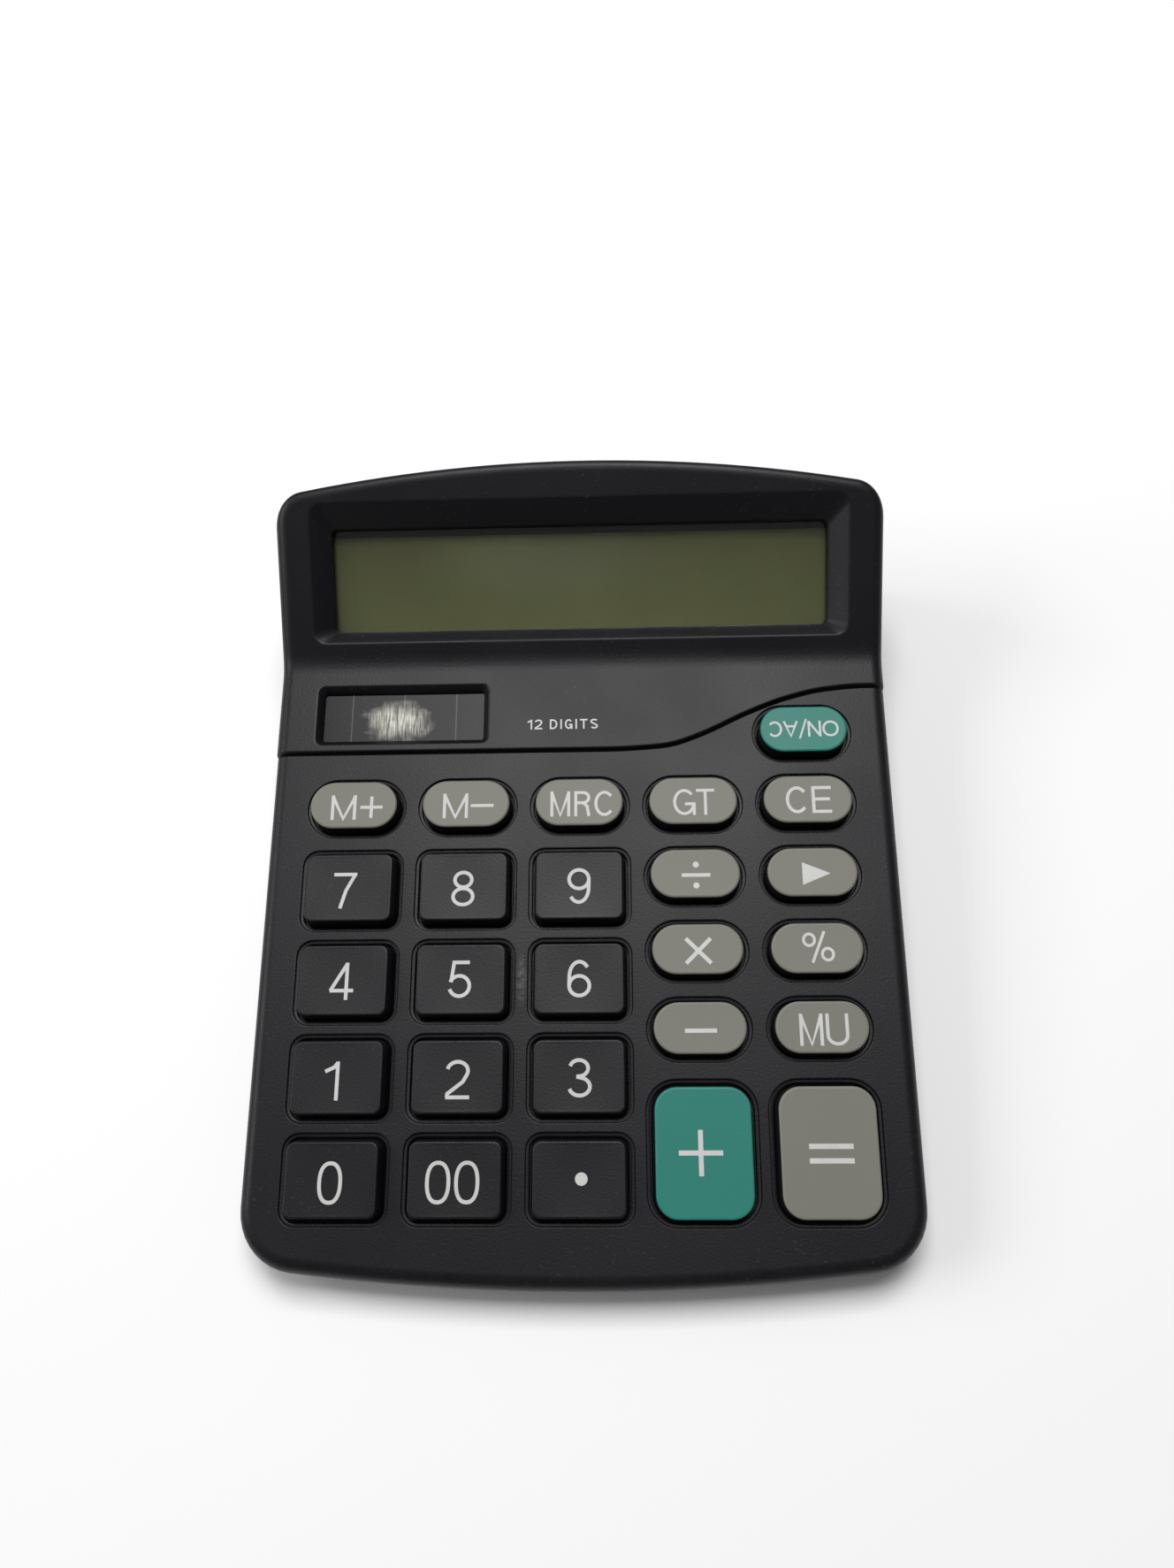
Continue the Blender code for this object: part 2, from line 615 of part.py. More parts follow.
def make_lower_case():
    lower = add("lower_case", outer_body.copy(), BLACK)
    above = box("above", (-1, -1, -PARTING_DEPTH - GAP), (1, 1, 1), frame=deck_frame)
    cut(lower, above)
    cut(lower, prism("tub", body_outline(WALL), FLOOR_TOP, 60 * MM))

    # The lip that stands inside the upper case.
    lip_top = -PARTING_DEPTH + LIP[1]
    lip = add("lip", body_blank("lip", LIP[0], FLOOR_TOP + 0.5 * MM, lip_top, None))
    cut(lip, prism("lip_inside", body_outline(WALL + 0.01 * MM), 0, 60 * MM))
    join(lower, lip)

    # The battery bay: walls all round, open under the cell where the cover goes.
    half_x, half_y = BAY_HALF
    outer_low = (-half_x - 3.4 * MM, CELL_Y - half_y - BAY_WALL, FLOOR_TOP - 0.5 * MM)
    outer_high = (half_x + 3.4 * MM, CELL_Y + half_y + BAY_WALL, BAY_TOP)
    join(lower, box("bay", outer_low, outer_high))
    cut(lower, box("bay_inside", (-half_x, CELL_Y - half_y, -1 * MM), (half_x, CELL_Y + half_y, 30 * MM)))
    half = COVER_HALF_WIDTH + GAP
    front = COVER_FRONT - GAP
    cut(lower, box("cover_opening", (-half, front, -1 * MM), (half, 90 * MM, COVER_TOP + GAP)))
    half = COVER_HALF_WIDTH + TONGUE[0] + GAP
    cut(lower, box("groove", (-half, front, TONGUE[1] - GAP), (half, 90 * MM, TONGUE[2] + GAP)))

    # Screw bosses with sunk heads, and seats for the feet.
    places = [(x, y, 0) for x, y in CASE_SCREWS.values()]
    boss = cone_mesh("boss", BOSS_RADIUS + 1 * MM, FLOOR_TOP - 1 * MM, LOWER_BOSS_TOP, sides=12)
    sunk = rounded_rectangle(5 * MM, 5 * MM, 2.5 * MM, 3)
    narrow = rounded_rectangle(2 * SCREW_HOLE, 2 * SCREW_HOLE, SCREW_HOLE, 3)
    hole = stepped_mesh("screw_hole", sunk, narrow, -1 * MM, COUNTERBORE_TOP, 8 * MM)
    join(lower, gathered("bosses", [boss] * len(places), places))
    cut(lower, gathered("screw_holes", [hole] * len(places), places))
    seat = cone_mesh("foot_seat", FOOT_RADIUS + GAP, -1 * MM, FOOT_HEIGHT + GAP, sides=16)
    cut(lower, gathered("foot_seats", [seat] * len(FEET), [(x, y, 0) for x, y in FEET.values()]))


def make_battery_cover():
    cover = add("battery_cover", outer_body.copy(), BLACK)
    half = COVER_HALF_WIDTH
    overlap(cover, box("cover_space", (-half, COVER_FRONT, -1 * MM), (half, 90 * MM, COVER_TOP)))
    cut(cover, box("cover_inside", (-60 * MM, 40 * MM, FLOOR_TOP), (60 * MM, COVER_INNER_REAR, 30 * MM)))
    width, low, high = TONGUE
    for side in (-1, 1):
        ends = sorted((side * (half - 1 * MM), side * (half + width)))
        rear = 70 * MM
        join(cover, box("tongue", (ends[0], COVER_FRONT, low), (ends[1], rear, high)))
    for ridge in range(4):
        y = COVER_FRONT + (7 + 2 * ridge) * MM
        cut(cover, box("grip", (-8 * MM, y, 0), (8 * MM, y + 0.8 * MM, FLOOR_BOTTOM + 0.4 * MM)))


def screw_mesh(name, shank, length, head, height):
    """A pan-head screw that points up, with its head below z = 0 and a cross cut in it."""
    screw = add(name, cone_mesh(name, head * 0.75, -height, 0, head, 12))
    helpers = [(join, cylinder("shank", shank, -0.2 * MM, length, sides=8))]
    for size in ((head * 0.55, 0.25 * MM), (0.25 * MM, head * 0.55)):
        low = (-size[0], -size[1], -height - 1 * MM)
        helpers.append((cut, box("cross", low, (size[0], size[1], -height * 0.5))))
    for operation, helper in helpers:
        operation(screw, helper)
    mesh = evaluated_mesh(screw)
    mesh.name = name
    for obj in (screw, *(helper for _, helper in helpers)):
        bpy.data.objects.remove(obj)
    return mesh


def make_screws():
    case_screw = screw_mesh("case_screw", 0.95 * MM, 5.3 * MM, 2.1 * MM, 1.3 * MM)
    for name, (x, y) in CASE_SCREWS.items():
        add(name, case_screw, STEEL, None, (x, y, COUNTERBORE_TOP - GAP))
    board_screw = screw_mesh("board_screw", 0.7 * MM, 3.4 * MM, 1.4 * MM, 0.9 * MM)
    for name, (x, y) in BOARD_SCREWS.items():
        add(name, board_screw, STEEL, deck_frame, (x, y, BOARD_BOTTOM - GAP))
    for side, name in ((-1, "holder_screw_left"), (1, "holder_screw_right")):
        place = (side * HOLDER_SCREW_X, HOLDER_SCREW_Y, -BLOCK_DEPTH - GAP - HOLDER_THICKNESS - GAP)
        add(name, board_screw, STEEL, head_frame, place)


def make_board():
    width, front, rear = BOARD_SIZE
    board = box("main_board", (-width / 2, front, BOARD_BOTTOM), (width / 2, rear, BOARD_TOP), BOARD, deck_frame)
    hole = cone_mesh("board_hole", 1.0 * MM, BOARD_BOTTOM - 1 * MM, BOARD_TOP + 1 * MM, sides=8)
    places = [(x, y, 0) for x, y in BOARD_SCREWS.values()]
    cut(board, gathered("board_holes", [hole] * len(places), places, deck_frame))
    blob = cone_mesh("chip_blob", 3.4 * MM, -1.6 * MM, 0, 6 * MM, 14)
    add("chip_blob", blob, RUBBER, deck_frame, (8 * MM, 12 * MM, BOARD_BOTTOM - GAP))


def make_key_mat():
    """One silicone sheet with a hollow dome under each key."""
    width, front, rear = MAT_SIZE
    low = MAT_TOP - MAT_THICKNESS
    mat = box("key_mat", (-width / 2, front, low), (width / 2, rear, MAT_TOP), SILICONE, deck_frame)
    wide, narrow = DOME_RADII
    dome = cone_mesh("dome", wide, MAT_TOP - 0.2 * MM, MAT_TOP + DOME_HEIGHT, narrow, 8)
    crown = MAT_TOP + DOME_HEIGHT - 0.6 * MM
    hollow = cone_mesh("dome_hollow", wide - 0.5 * MM, low - 0.5 * MM, crown, narrow - 0.6 * MM, 8)
    places = [(x, y, 0) for _, _, _, (x, y) in key_places()]
    join(mat, gathered("domes", [dome] * len(places), places, deck_frame))
    cut(mat, gathered("dome_hollows", [hollow] * len(places), places, deck_frame))


def make_display():
    half_x = LENS_SIZE[0] / 2
    half_y = LENS_SIZE[1] / 2
    place = (0, LENS_CENTRE_Y, 0)
    top = -LEDGE_DEPTH - GAP
    low = top - LENS_THICKNESS
    box("display_window", (-half_x, -half_y, low), (half_x, half_y, top), CLEAR, head_frame, place)
    top = low - GAP
    low = top - LCD_THICKNESS
    box("lcd_glass", (-half_x, -half_y, low), (half_x, half_y, top), OLIVE, head_frame, place)
    top = -BLOCK_DEPTH - GAP
    low = top - HOLDER_THICKNESS
    holder = add("lcd_holder", frustum_mesh("lcd_holder", HOLDER, HOLDER, top, low), BLACK, head_frame)
    join(holder, add("ear", frustum_mesh("ear", HOLDER_EAR, HOLDER_EAR, top, low), frame=head_frame))
    middle = (HOLDER[1] + HOLDER[2]) / 2
    for side in (-1, 1):
        window = box("holder_window", (-20 * MM, -6 * MM, -20 * MM), (20 * MM, 6 * MM, 0), None, head_frame)
        window.location = (side * 23 * MM, middle, 0)
        cut(holder, window)
        hole = (side * HOLDER_SCREW_X, HOLDER_SCREW_Y, 0)
        cut(holder, cylinder("holder_screw_hole", 1.0 * MM, -20 * MM, 0, None, head_frame, hole, 8))
    make_ribbon(-BLOCK_DEPTH - GAP)


def make_ribbon(glass_out):
    """The flat lead from the underside of the glass to the board, as one bent strip."""
    thickness = 0.24 * MM
    start = on_head(8.2 * MM, glass_out - thickness)
    bend = on_head(1.0 * MM, glass_out - thickness)
    landing = on_deck(24.4 * MM, BOARD_TOP + GAP)
    end = on_deck(21.8 * MM, BOARD_TOP + GAP)
    guides = (bend, on_head(-1.4 * MM, glass_out - thickness), on_deck(27.5 * MM, BOARD_TOP + GAP), landing)
    under = [start]
    steps = 5
    for step in range(steps + 1):
        share = step / steps
        weights = ((1 - share) ** 3, 3 * share * (1 - share) ** 2, 3 * share**2 * (1 - share), share**3)
        under.append(tuple(sum(w * guide[axis] for w, guide in zip(weights, guides)) for axis in range(2)))
    under.append(end)
    lean = (HEAD_SLOPE + DECK_SLOPE) / 2
    over = [(y - thickness * math.sin(lean), z + thickness * math.cos(lean)) for y, z in under]
    side_prism("lcd_ribbon", under + over[::-1], 30 * MM, FILM)


def make_solar_cell():
    half_x = SOLAR_CELL[0] / 2
    half_y = SOLAR_CELL[1] / 2
    top = -SOLAR_DEPTH - GAP
    low = top - SOLAR_CELL_THICKNESS
    place = (*SOLAR_CENTRE, 0)
    box("solar_cell", (-half_x, -half_y, low), (half_x, half_y, top), SILICON, deck_frame, place)


def make_feet():
    for name, (x, y) in FEET.items():
        add(name, cone_mesh("foot", FOOT_RADIUS - 0.4 * MM, 0, FOOT_HEIGHT, FOOT_RADIUS, 16), RUBBER, None, (x, y, 0))


def make_battery():
    place = (0, CELL_Y, CELL_Z)
    low, high = CELL_ENDS
    cell = cylinder("aa_cell", CELL_RADIUS, low, high, JACKET, None, place, 20, "X")
    nub = cylinder("nub", CELL_NUB[0], high - 1 * MM, high + CELL_NUB[1], None, None, place, 12, "X")
    join(cell, nub)

    # The contacts stand at the two ends of the bay, each with a tail above the wall for its wire.
    for side, name in ((1, "contact_positive"), (-1, "contact_negative")):
        ends = sorted((side * 28.4 * MM, side * 28.8 * MM))
        contact = box(name, (ends[0], CELL_Y - 5 * MM, 4.2 * MM), (ends[1], CELL_Y + 5 * MM, 14 * MM), STEEL)
        tail = box("tail", (ends[0], CELL_Y - 4 * MM, 13 * MM), (ends[1], CELL_Y - 1.5 * MM, 16 * MM))
        join(contact, tail)
        if side < 0:
            join(contact, add("coil", coil_mesh(), None, None, (-28.5 * MM, CELL_Y, CELL_Z)))


def coil_mesh():
    """A conical helix of wire along X, wide at the contact plate and narrow at the cell."""
    turns = 3
    points = []
    for step in range(turns * 10 + 1):
        share = step / (turns * 10)
        angle = 2 * math.pi * turns * share
        radius = (4.2 - 2.0 * share) * MM
        points.append((share * 5.2 * MM, radius * math.cos(angle), radius * math.sin(angle)))
    return tube_mesh("coil", points, 0.4 * MM)


def tube_mesh(name, points, radius):
    curve = bpy.data.curves.new(name, "CURVE")
    curve.dimensions = "3D"
    curve.bevel_depth = radius
    curve.bevel_resolution = 1
    curve.use_fill_caps = True
    spline = curve.splines.new("POLY")
    spline.points.add(len(points) - 1)
    for place, point in zip(spline.points, points):
        place.co = (*point, 1)
    return curve_mesh(curve)


def wire(name, points, finish):
    """A wire along a smooth path through the points, which are in world space."""
    path = []
    for i in range(len(points) - 1):
        before = points[max(i - 1, 0)]
        after = points[min(i + 2, len(points) - 1)]
        for step in range(4):
            share = step / 4
            here = points[i] * (1 - share) + points[i + 1] * share
            lean = (points[i + 1] - before) * share * (1 - share) ** 2 * 0.5
            lean -= (after - points[i]) * share**2 * (1 - share) * 0.5
            straight = (points[i + 1] - points[i]) * (share * (1 - share) ** 2 - share**2 * (1 - share))
            path.append(here + lean - straight)
    path.append(points[-1])
    return add(name, tube_mesh(name, path, 0.5 * MM), finish)


def make_wires():
    def under_board(x, y, out=0.0):
        return Vector((x * MM, *on_deck(y * MM, BOARD_BOTTOM - 0.8 * MM - out * MM)))

    def over_board(x, y, out):
        return Vector((x * MM, *on_deck(y * MM, out * MM)))

    for side, name, finish in ((1, "wire_battery_positive", RED), (-1, "wire_battery_negative", BLACK)):
        tail = Vector((side * 29.4 * MM, CELL_Y - 2.75 * MM, 15.4 * MM))
        path = [
            tail,
            Vector((side * 31.5 * MM, CELL_Y - 4.5 * MM, 15.2 * MM)),
            Vector((side * 33.2 * MM, CELL_Y - 12 * MM, 13.0 * MM)),
            Vector((side * 32.0 * MM, CELL_Y - 19 * MM, 9.5 * MM)),
            under_board(side * 29, 19, 1.2),
            under_board(side * 26, 16),
        ]
        wire(name, path, finish)
    cell_low = -(SOLAR_DEPTH + GAP + SOLAR_CELL_THICKNESS) / MM - 0.8
    board_top = BOARD_TOP / MM + 0.8
    for x, name, finish in ((-48, "wire_solar_positive", RED), (-22, "wire_solar_negative", BLACK)):
        path = [
            over_board(x, 20, cell_low),
            over_board(x + 0.6, 21.6, (cell_low + board_top) / 2),
            over_board(x + 1.0, 23.0, board_top),
        ]
        wire(name, path, finish)


clear_scene()
parts = new_collection("desk_calculator")
cutters = new_collection("cutters")
HEAD_ORIGIN = on_deck(FOLD_Y, BAND_RISE)
deck_frame = new_frame("deck_frame", DECK_ORIGIN, DECK_SLOPE)
head_frame = new_frame("head_frame", (0, *HEAD_ORIGIN), HEAD_SLOPE)
outer_body = body_blank("outer_body", 0, FLOOR_BOTTOM, 0, 0, EDGE_ROUND)

make_keys()
make_upper_case()
make_lower_case()
make_battery_cover()
make_screws()
make_board()
make_key_mat()
make_display()
make_solar_cell()
make_feet()
make_battery()
make_wires()
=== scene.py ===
import math

import bmesh
import bpy
import numpy as np
from mathutils import Matrix, Vector
from mathutils.geometry import delaunay_2d_cdt


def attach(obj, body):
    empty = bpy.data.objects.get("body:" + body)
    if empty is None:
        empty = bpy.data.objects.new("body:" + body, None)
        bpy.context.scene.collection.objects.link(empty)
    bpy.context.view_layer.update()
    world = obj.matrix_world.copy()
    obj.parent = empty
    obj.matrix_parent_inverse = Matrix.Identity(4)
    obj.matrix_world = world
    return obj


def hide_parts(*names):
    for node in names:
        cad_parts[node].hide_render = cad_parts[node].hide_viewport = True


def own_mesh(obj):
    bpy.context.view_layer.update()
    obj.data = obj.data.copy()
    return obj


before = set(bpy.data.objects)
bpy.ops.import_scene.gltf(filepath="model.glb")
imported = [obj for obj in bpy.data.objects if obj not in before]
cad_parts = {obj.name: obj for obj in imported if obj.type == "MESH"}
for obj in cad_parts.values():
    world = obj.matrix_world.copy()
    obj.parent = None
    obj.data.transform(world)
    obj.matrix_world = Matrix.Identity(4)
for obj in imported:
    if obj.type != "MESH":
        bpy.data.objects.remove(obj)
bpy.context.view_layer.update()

# ---------------------------------------------------------------------------------------------------------
# Upper case. One injection moulding in black ABS with a fine spark-eroded texture: the key deck, the raised
# band with its S-shaped front edge, and the steeper display head, about 2 mm thick all over. It is laid face
# down first, and everything else goes into it. All lengths are in millimetres until a mesh is made.

DECK_SLOPE = math.radians(4.5)
HEAD_SLOPE = math.radians(30.5)
DECK_Y, DECK_Z = 10.64, 17.12
DECK_WALL = 1.8
CASE_WALL = 2.0
BAND_RISE = 0.9
FOLD_V = 29.3
FOLD_RADIUS = 9.0
EDGE_ROUND = 2.4
PARTING = -5.5
BODY_HALF = 58.9
BODY_END = 73.6
BOARD_SCREWS = ((-54.3, -58), (54.3, -58), (-54.3, 12), (54.3, 12))
CASE_SCREWS = ((-45, -66.6), (45, -66.6), (-53.7, 40.8), (53.7, 40.8), (-53.9, 62.5), (53.9, 62.5))
# For each end of the body: its side, the radius of its bow and the radius of its corners.
BODY_ENDS = ((-1, 431.0, 10.5), (1, 360.0, 6.0))


def on_deck(u, v, w=0.0):
    """World place of a point on the deck: u across, v up the slope, w out of the surface."""
    y = DECK_Y + v * math.cos(DECK_SLOPE) - w * math.sin(DECK_SLOPE)
    z = DECK_Z + v * math.sin(DECK_SLOPE) + w * math.cos(DECK_SLOPE)
    return (u, y, z)


FOLD_Y, FOLD_Z = on_deck(0, FOLD_V, BAND_RISE)[1:]


def on_head(u, t, n=0.0):
    """World place of a point on the display head: u across, t up from the fold, n out of the surface."""
    y = FOLD_Y + t * math.cos(HEAD_SLOPE) - n * math.sin(HEAD_SLOPE)
    z = FOLD_Z + t * math.sin(HEAD_SLOPE) + n * math.cos(HEAD_SLOPE)
    return (u, y, z)


def deck_height(y, w=0.0):
    """Height of the plane w above the deck, over a point on the table."""
    return DECK_Z + (y - DECK_Y) * math.tan(DECK_SLOPE) + w / math.cos(DECK_SLOPE)


def head_height(y, n=0.0):
    return FOLD_Z + (y - FOLD_Y) * math.tan(HEAD_SLOPE) + n / math.cos(HEAD_SLOPE)


def arc_points(centre, radius, start, end, steps):
    turn = [start + (end - start) * i / steps for i in range(steps + 1)]
    return [(centre[0] + radius * math.cos(a), centre[1] + radius * math.sin(a)) for a in turn]


def circle(radius, steps, centre=(0, 0)):
    return arc_points(centre, radius, 0, 2 * math.pi, steps)[:-1]


def body_corner(side, bow, corner):
    """The centre of a corner's arc, the centre of the bow, and the half angle that the bow spans."""
    bow_y = side * (BODY_END - bow)
    x = BODY_HALF - corner
    return (x, bow_y + side * math.sqrt((bow - corner) ** 2 - x * x)), bow_y, math.asin(x / (bow - corner))


def body_ring(inset, side_stops):
    """The plan outline drawn in by the inset, anticlockwise, with a point at each stop along both sides."""
    ring = []
    for side, bow, corner in BODY_ENDS:
        (x, y), bow_y, lean = body_corner(side, bow, corner)
        middle = side * math.pi / 2
        ring += arc_points((side * x, y), corner - inset, middle - math.pi / 2, middle - lean, 9)
        ring += arc_points((0, bow_y), bow - inset, middle - lean, middle + lean, 26)[1:-1]
        ring += arc_points((-side * x, y), corner - inset, middle + lean, middle + math.pi / 2, 9)
        stops = side_stops if side < 0 else side_stops[::-1]
        ring += [(-side * (BODY_HALF - inset), stop) for stop in stops]
    return ring


def inset_of(x, y):
    """How far points lie inside the plan outline."""
    x, y = np.abs(np.asarray(x, float)), np.asarray(y, float)
    depth = BODY_HALF - x
    for side, bow, corner in BODY_ENDS:
        (cx, cy), bow_y, lean = body_corner(side, bow, corner)
        bow_depth = bow - np.hypot(x, y - bow_y)
        depth = np.minimum(depth, np.where(side * y > 0, bow_depth, 1e9))
        in_corner = (x > cx) & (side * (y - cy) > 0) & (np.arctan2(x, side * (y - bow_y)) > lean)
        depth = np.where(in_corner, corner - np.hypot(x - cx, y - cy), depth)
    return depth


# The front edge of the raised band, in the deck's u and v, and the section across its step.
BAND_EDGE = np.array(
    [
        (-60, 11.3), (8, 11.3), (17.6, 11.9), (24.4, 14.5), (31.3, 18.0), (38.2, 20.8), (45.1, 22.7),
        (52, 23.5), (60, 23.6),
    ]
)
BAND_SECTION = (
    (0.59, 0.0), (0.55, 0.0), (0.49, -0.05), (0.42, -0.18), (0.33, -0.27), (0.24, -0.2), (0.16, 0.05),
    (0.08, 0.5), (0.0, 0.8),
    (-0.12, 0.88), (-0.3, 0.9), (-0.36, 0.9),
)


def smooth_edge():
    u = np.arange(-60, 60.01, 1.0)
    v = np.interp(u, *BAND_EDGE.T)
    for _ in range(3):
        padded = np.pad(v, 2, mode="edge")
        v = sum(padded[i : i + len(v)] * share for i, share in enumerate((0.1, 0.2, 0.4, 0.2, 0.1)))
    return np.array([on_deck(a, b, 0.4)[:2] for a, b in zip(u, v)])


band_line = smooth_edge()


def offset_line(line, distance):
    """The line moved sideways, towards the user for a positive distance."""
    along = np.gradient(line, axis=0)
    along /= np.linalg.norm(along, axis=1)[:, None]
    return line + np.c_[along[:, 1], -along[:, 0]] * distance


def band_distance(x, y):
    """Signed distance from the band's edge: positive on the deck's side."""
    points = np.c_[x, y]
    best = np.full(len(points), 1e9)
    side = np.ones(len(points))
    for a, b in zip(band_line, band_line[1:]):
        run = b - a
        share = np.clip(((points - a) @ run) / (run @ run), 0, 1)
        gap = points - (a + share[:, None] * run)
        reach = np.hypot(*gap.T)
        closer = reach < best
        best = np.where(closer, reach, best)
        side = np.where(closer, np.sign(gap[:, 0] * run[1] - gap[:, 1] * run[0]), side)
    return best * side


fold_reach = FOLD_RADIUS * math.tan((HEAD_SLOPE - DECK_SLOPE) / 2)
fold_start = FOLD_Y - fold_reach * math.cos(DECK_SLOPE)
fold_end = FOLD_Y + fold_reach * math.cos(HEAD_SLOPE)
fold_centre = (
    fold_start - FOLD_RADIUS * math.sin(DECK_SLOPE),
    deck_height(fold_start, BAND_RISE) + FOLD_RADIUS * math.cos(DECK_SLOPE),
)


def top_height(x, y):
    """Height of the outside of the case: deck, band, fold and head, rounded off towards the outline."""
    x, y = np.asarray(x, float), np.asarray(y, float)
    distances, rises = np.array(BAND_SECTION[::-1]).T
    rise = np.interp(band_distance(x, y), distances, rises)
    level = deck_height(y) + rise / math.cos(DECK_SLOPE)
    across = np.clip(y - fold_centre[0], -FOLD_RADIUS, FOLD_RADIUS)
    level = np.where(y > fold_start, fold_centre[1] - np.sqrt(FOLD_RADIUS**2 - across**2), level)
    level = np.where(y > fold_end, head_height(y), level)
    short = np.clip(EDGE_ROUND - inset_of(x, y), 0, EDGE_ROUND)
    return level - (EDGE_ROUND - np.sqrt(EDGE_ROUND**2 - short**2))


def rounded_ring(width, depth, radius, steps):
    """A rectangle's outline about the origin, anticlockwise from the right-hand end of its rear right corner."""
    ring = []
    for quarter, (sx, sy) in enumerate(((1, 1), (-1, 1), (-1, -1), (1, -1))):
        centre = (sx * (width / 2 - radius), sy * (depth / 2 - radius))
        ring += arc_points(centre, radius, quarter * math.pi / 2, (quarter + 1) * math.pi / 2, steps)
    return ring


# Each key's name, shape and place on the deck. A shape is the width, length and corner radius of the key's top,
# and the steps round each corner.
COLUMN_PITCH, NUMBER_PITCH, OVAL_PITCH = 21.2, 16.95, 13.87
NUMBER_TOP, OVAL_TOP, TALL_TOP = (15.9, 12.45, 1.4, 5), (15.8, 8.5, 4.2, 9), (16.5, 21.5, 3.8, 8)
key_table = [
    ("key_on_clear", OVAL_TOP, 2 * COLUMN_PITCH, 13.9),
    ("key_memory_add", OVAL_TOP, -2 * COLUMN_PITCH, 0.0),
    ("key_memory_subtract", OVAL_TOP, -COLUMN_PITCH, 0.0),
    ("key_plus", TALL_TOP, COLUMN_PITCH, -62.4),
    ("key_equals", TALL_TOP, 2 * COLUMN_PITCH, -62.4),
]
for row, names in enumerate(("7 8 9", "4 5 6", "1 2 3", "0 00 point")):
    for column, name in enumerate(names.split()):
        key_table.append((f"key_{name}", NUMBER_TOP, (column - 2) * COLUMN_PITCH, -15.85 - row * NUMBER_PITCH))
for row, names in enumerate(
    ("memory_recall grand_total clear_entry", "- divide backspace", "- multiply percent", "- minus markup")
):
    for column, name in enumerate(names.split()):
        if name != "-":
            key_table.append((f"key_{name}", OVAL_TOP, column * COLUMN_PITCH, -row * OVAL_PITCH))


def key_outline(shape, extra):
    """A key's outline at its top, grown by the extra on each side."""
    width, length, radius, steps = shape
    return rounded_ring(width + 2 * extra, length + 2 * extra, radius + extra, steps)


# How far each ring of a key's well stands out from the key's top, and how far up the deck's normal it is.
WELL_RINGS = (
    (1.62, 0.0), (1.5, -0.03), (1.43, -0.12), (1.43, -0.42), (1.38, -0.5), (0.98, -0.5), (0.86, -0.56),
    (0.83, -0.7), (0.83, -1.8),
)


def well_rings(shape, u, v):
    return [[on_deck(u + a, v + b, w) for a, b in key_outline(shape, grow)] for grow, w in WELL_RINGS]


def quad_ring(place, half, first, last, out, soft=0.0, steps=6):
    """A rectangle on a sloping plane, with its corners rounded by the soft radius."""
    ring = rounded_ring(2 * half, last - first, max(soft, 0.01), steps)
    return [place(x, (first + last) / 2 + y, out) for x, y in ring]


# The display: a bevelled recess, a short step to the window's ledge, and the box that holds window and glass.
DISPLAY_RINGS = (
    (52.35, 4.05, 31.45, 0.0, 2.6),
    (52.15, 4.25, 31.25, -0.05, 2.5),
    (51.9, 4.45, 31.0, -0.2, 2.4),
    (48.75, 6.1, 26.65, -2.5, 1.4),
    (48.5, 6.25, 26.35, -2.75, 1.2),
    (48.4, 6.32, 26.2, -3.0, 1.1),
    (48.35, 6.35, 26.15, -4.1, 1.1),
    (49.4, 5.35, 27.55, -4.1, 0.6),
    (49.4, 5.35, 27.55, -7.7, 0.6),
    (51.0, 2.8, 29.2, -7.7, 0.6),
    (51.0, 2.8, 29.2, -2.0, 0.6),
)
SOLAR_RINGS = (
    (16.95, -6.3, 6.3, 0.9, 1.5),
    (16.75, -6.1, 6.1, 0.86, 1.4),
    (16.6, -5.95, 5.95, 0.74, 1.3),
    (15.75, -4.98, 4.98, -0.5, 0.6),
    (15.65, -4.9, 4.9, -0.7, 0.5),
    (17.6, -6.8, 6.8, -0.7, 0.3),
    (17.6, -6.8, 6.8, -1.8, 0.3),
)
SOLAR_U, SOLAR_V = -34.35, 18.75


def on_solar(u, v, w):
    return on_deck(SOLAR_U + u, SOLAR_V + v, w)


hole_stacks = [well_rings(shape, u, v) for _, shape, u, v in key_table]
hole_stacks.append([quad_ring(on_head, *ring) for ring in DISPLAY_RINGS])
hole_stacks.append([quad_ring(on_solar, *ring) for ring in SOLAR_RINGS])


def inside(points, ring):
    """Which points lie inside a closed ring, in plan."""
    ring = np.array(ring)[:, :2]
    x, y = points.T
    found = np.zeros(len(points), bool)
    for (x1, y1), (x2, y2) in zip(ring, np.roll(ring, -1, 0)):
        crosses = (y1 > y) != (y2 > y)
        found ^= crosses & (x < (x2 - x1) * (y - y1) / (y2 - y1 + 1e-30) + x1)
    return found


def skin(height, outline, holes, rings=(), lines=()):
    """A sheet over the plan inside the outline, less the holes, with edges along every ring and line.

    It returns the points, the triangles, and the numbers of the points round the outline and each hole.
    """
    plan, edges, loops = [], [], []
    for group, is_ring in ((([outline] + holes + list(rings)), True), (lines, False)):
        for path in group:
            first = len(plan)
            plan += [Vector(point[:2]) for point in path]
            count = len(path)
            edges += [(first + i, first + (i + 1) % count) for i in range(count if is_ring else count - 1)]
            loops.append(range(first, first + count))
    points, _, faces, origin, _, _ = delaunay_2d_cdt(plan, edges, [], 0, 1e-5)
    points = np.array([tuple(p) for p in points])
    faces = np.array([f if len(f) == 3 else f[:3] for f in faces])
    middle = points[faces].mean(axis=1)
    keep = inside(middle, outline)
    for hole in holes:
        keep &= ~inside(middle, hole)
    kept = {old: new for new, sources in enumerate(origin) for old in sources}
    loops = [[kept[i] for i in loop] for loop in loops[: 1 + len(holes)]]
    solid = np.c_[points, height(points[:, 0], points[:, 1])]
    return solid, faces[keep], loops


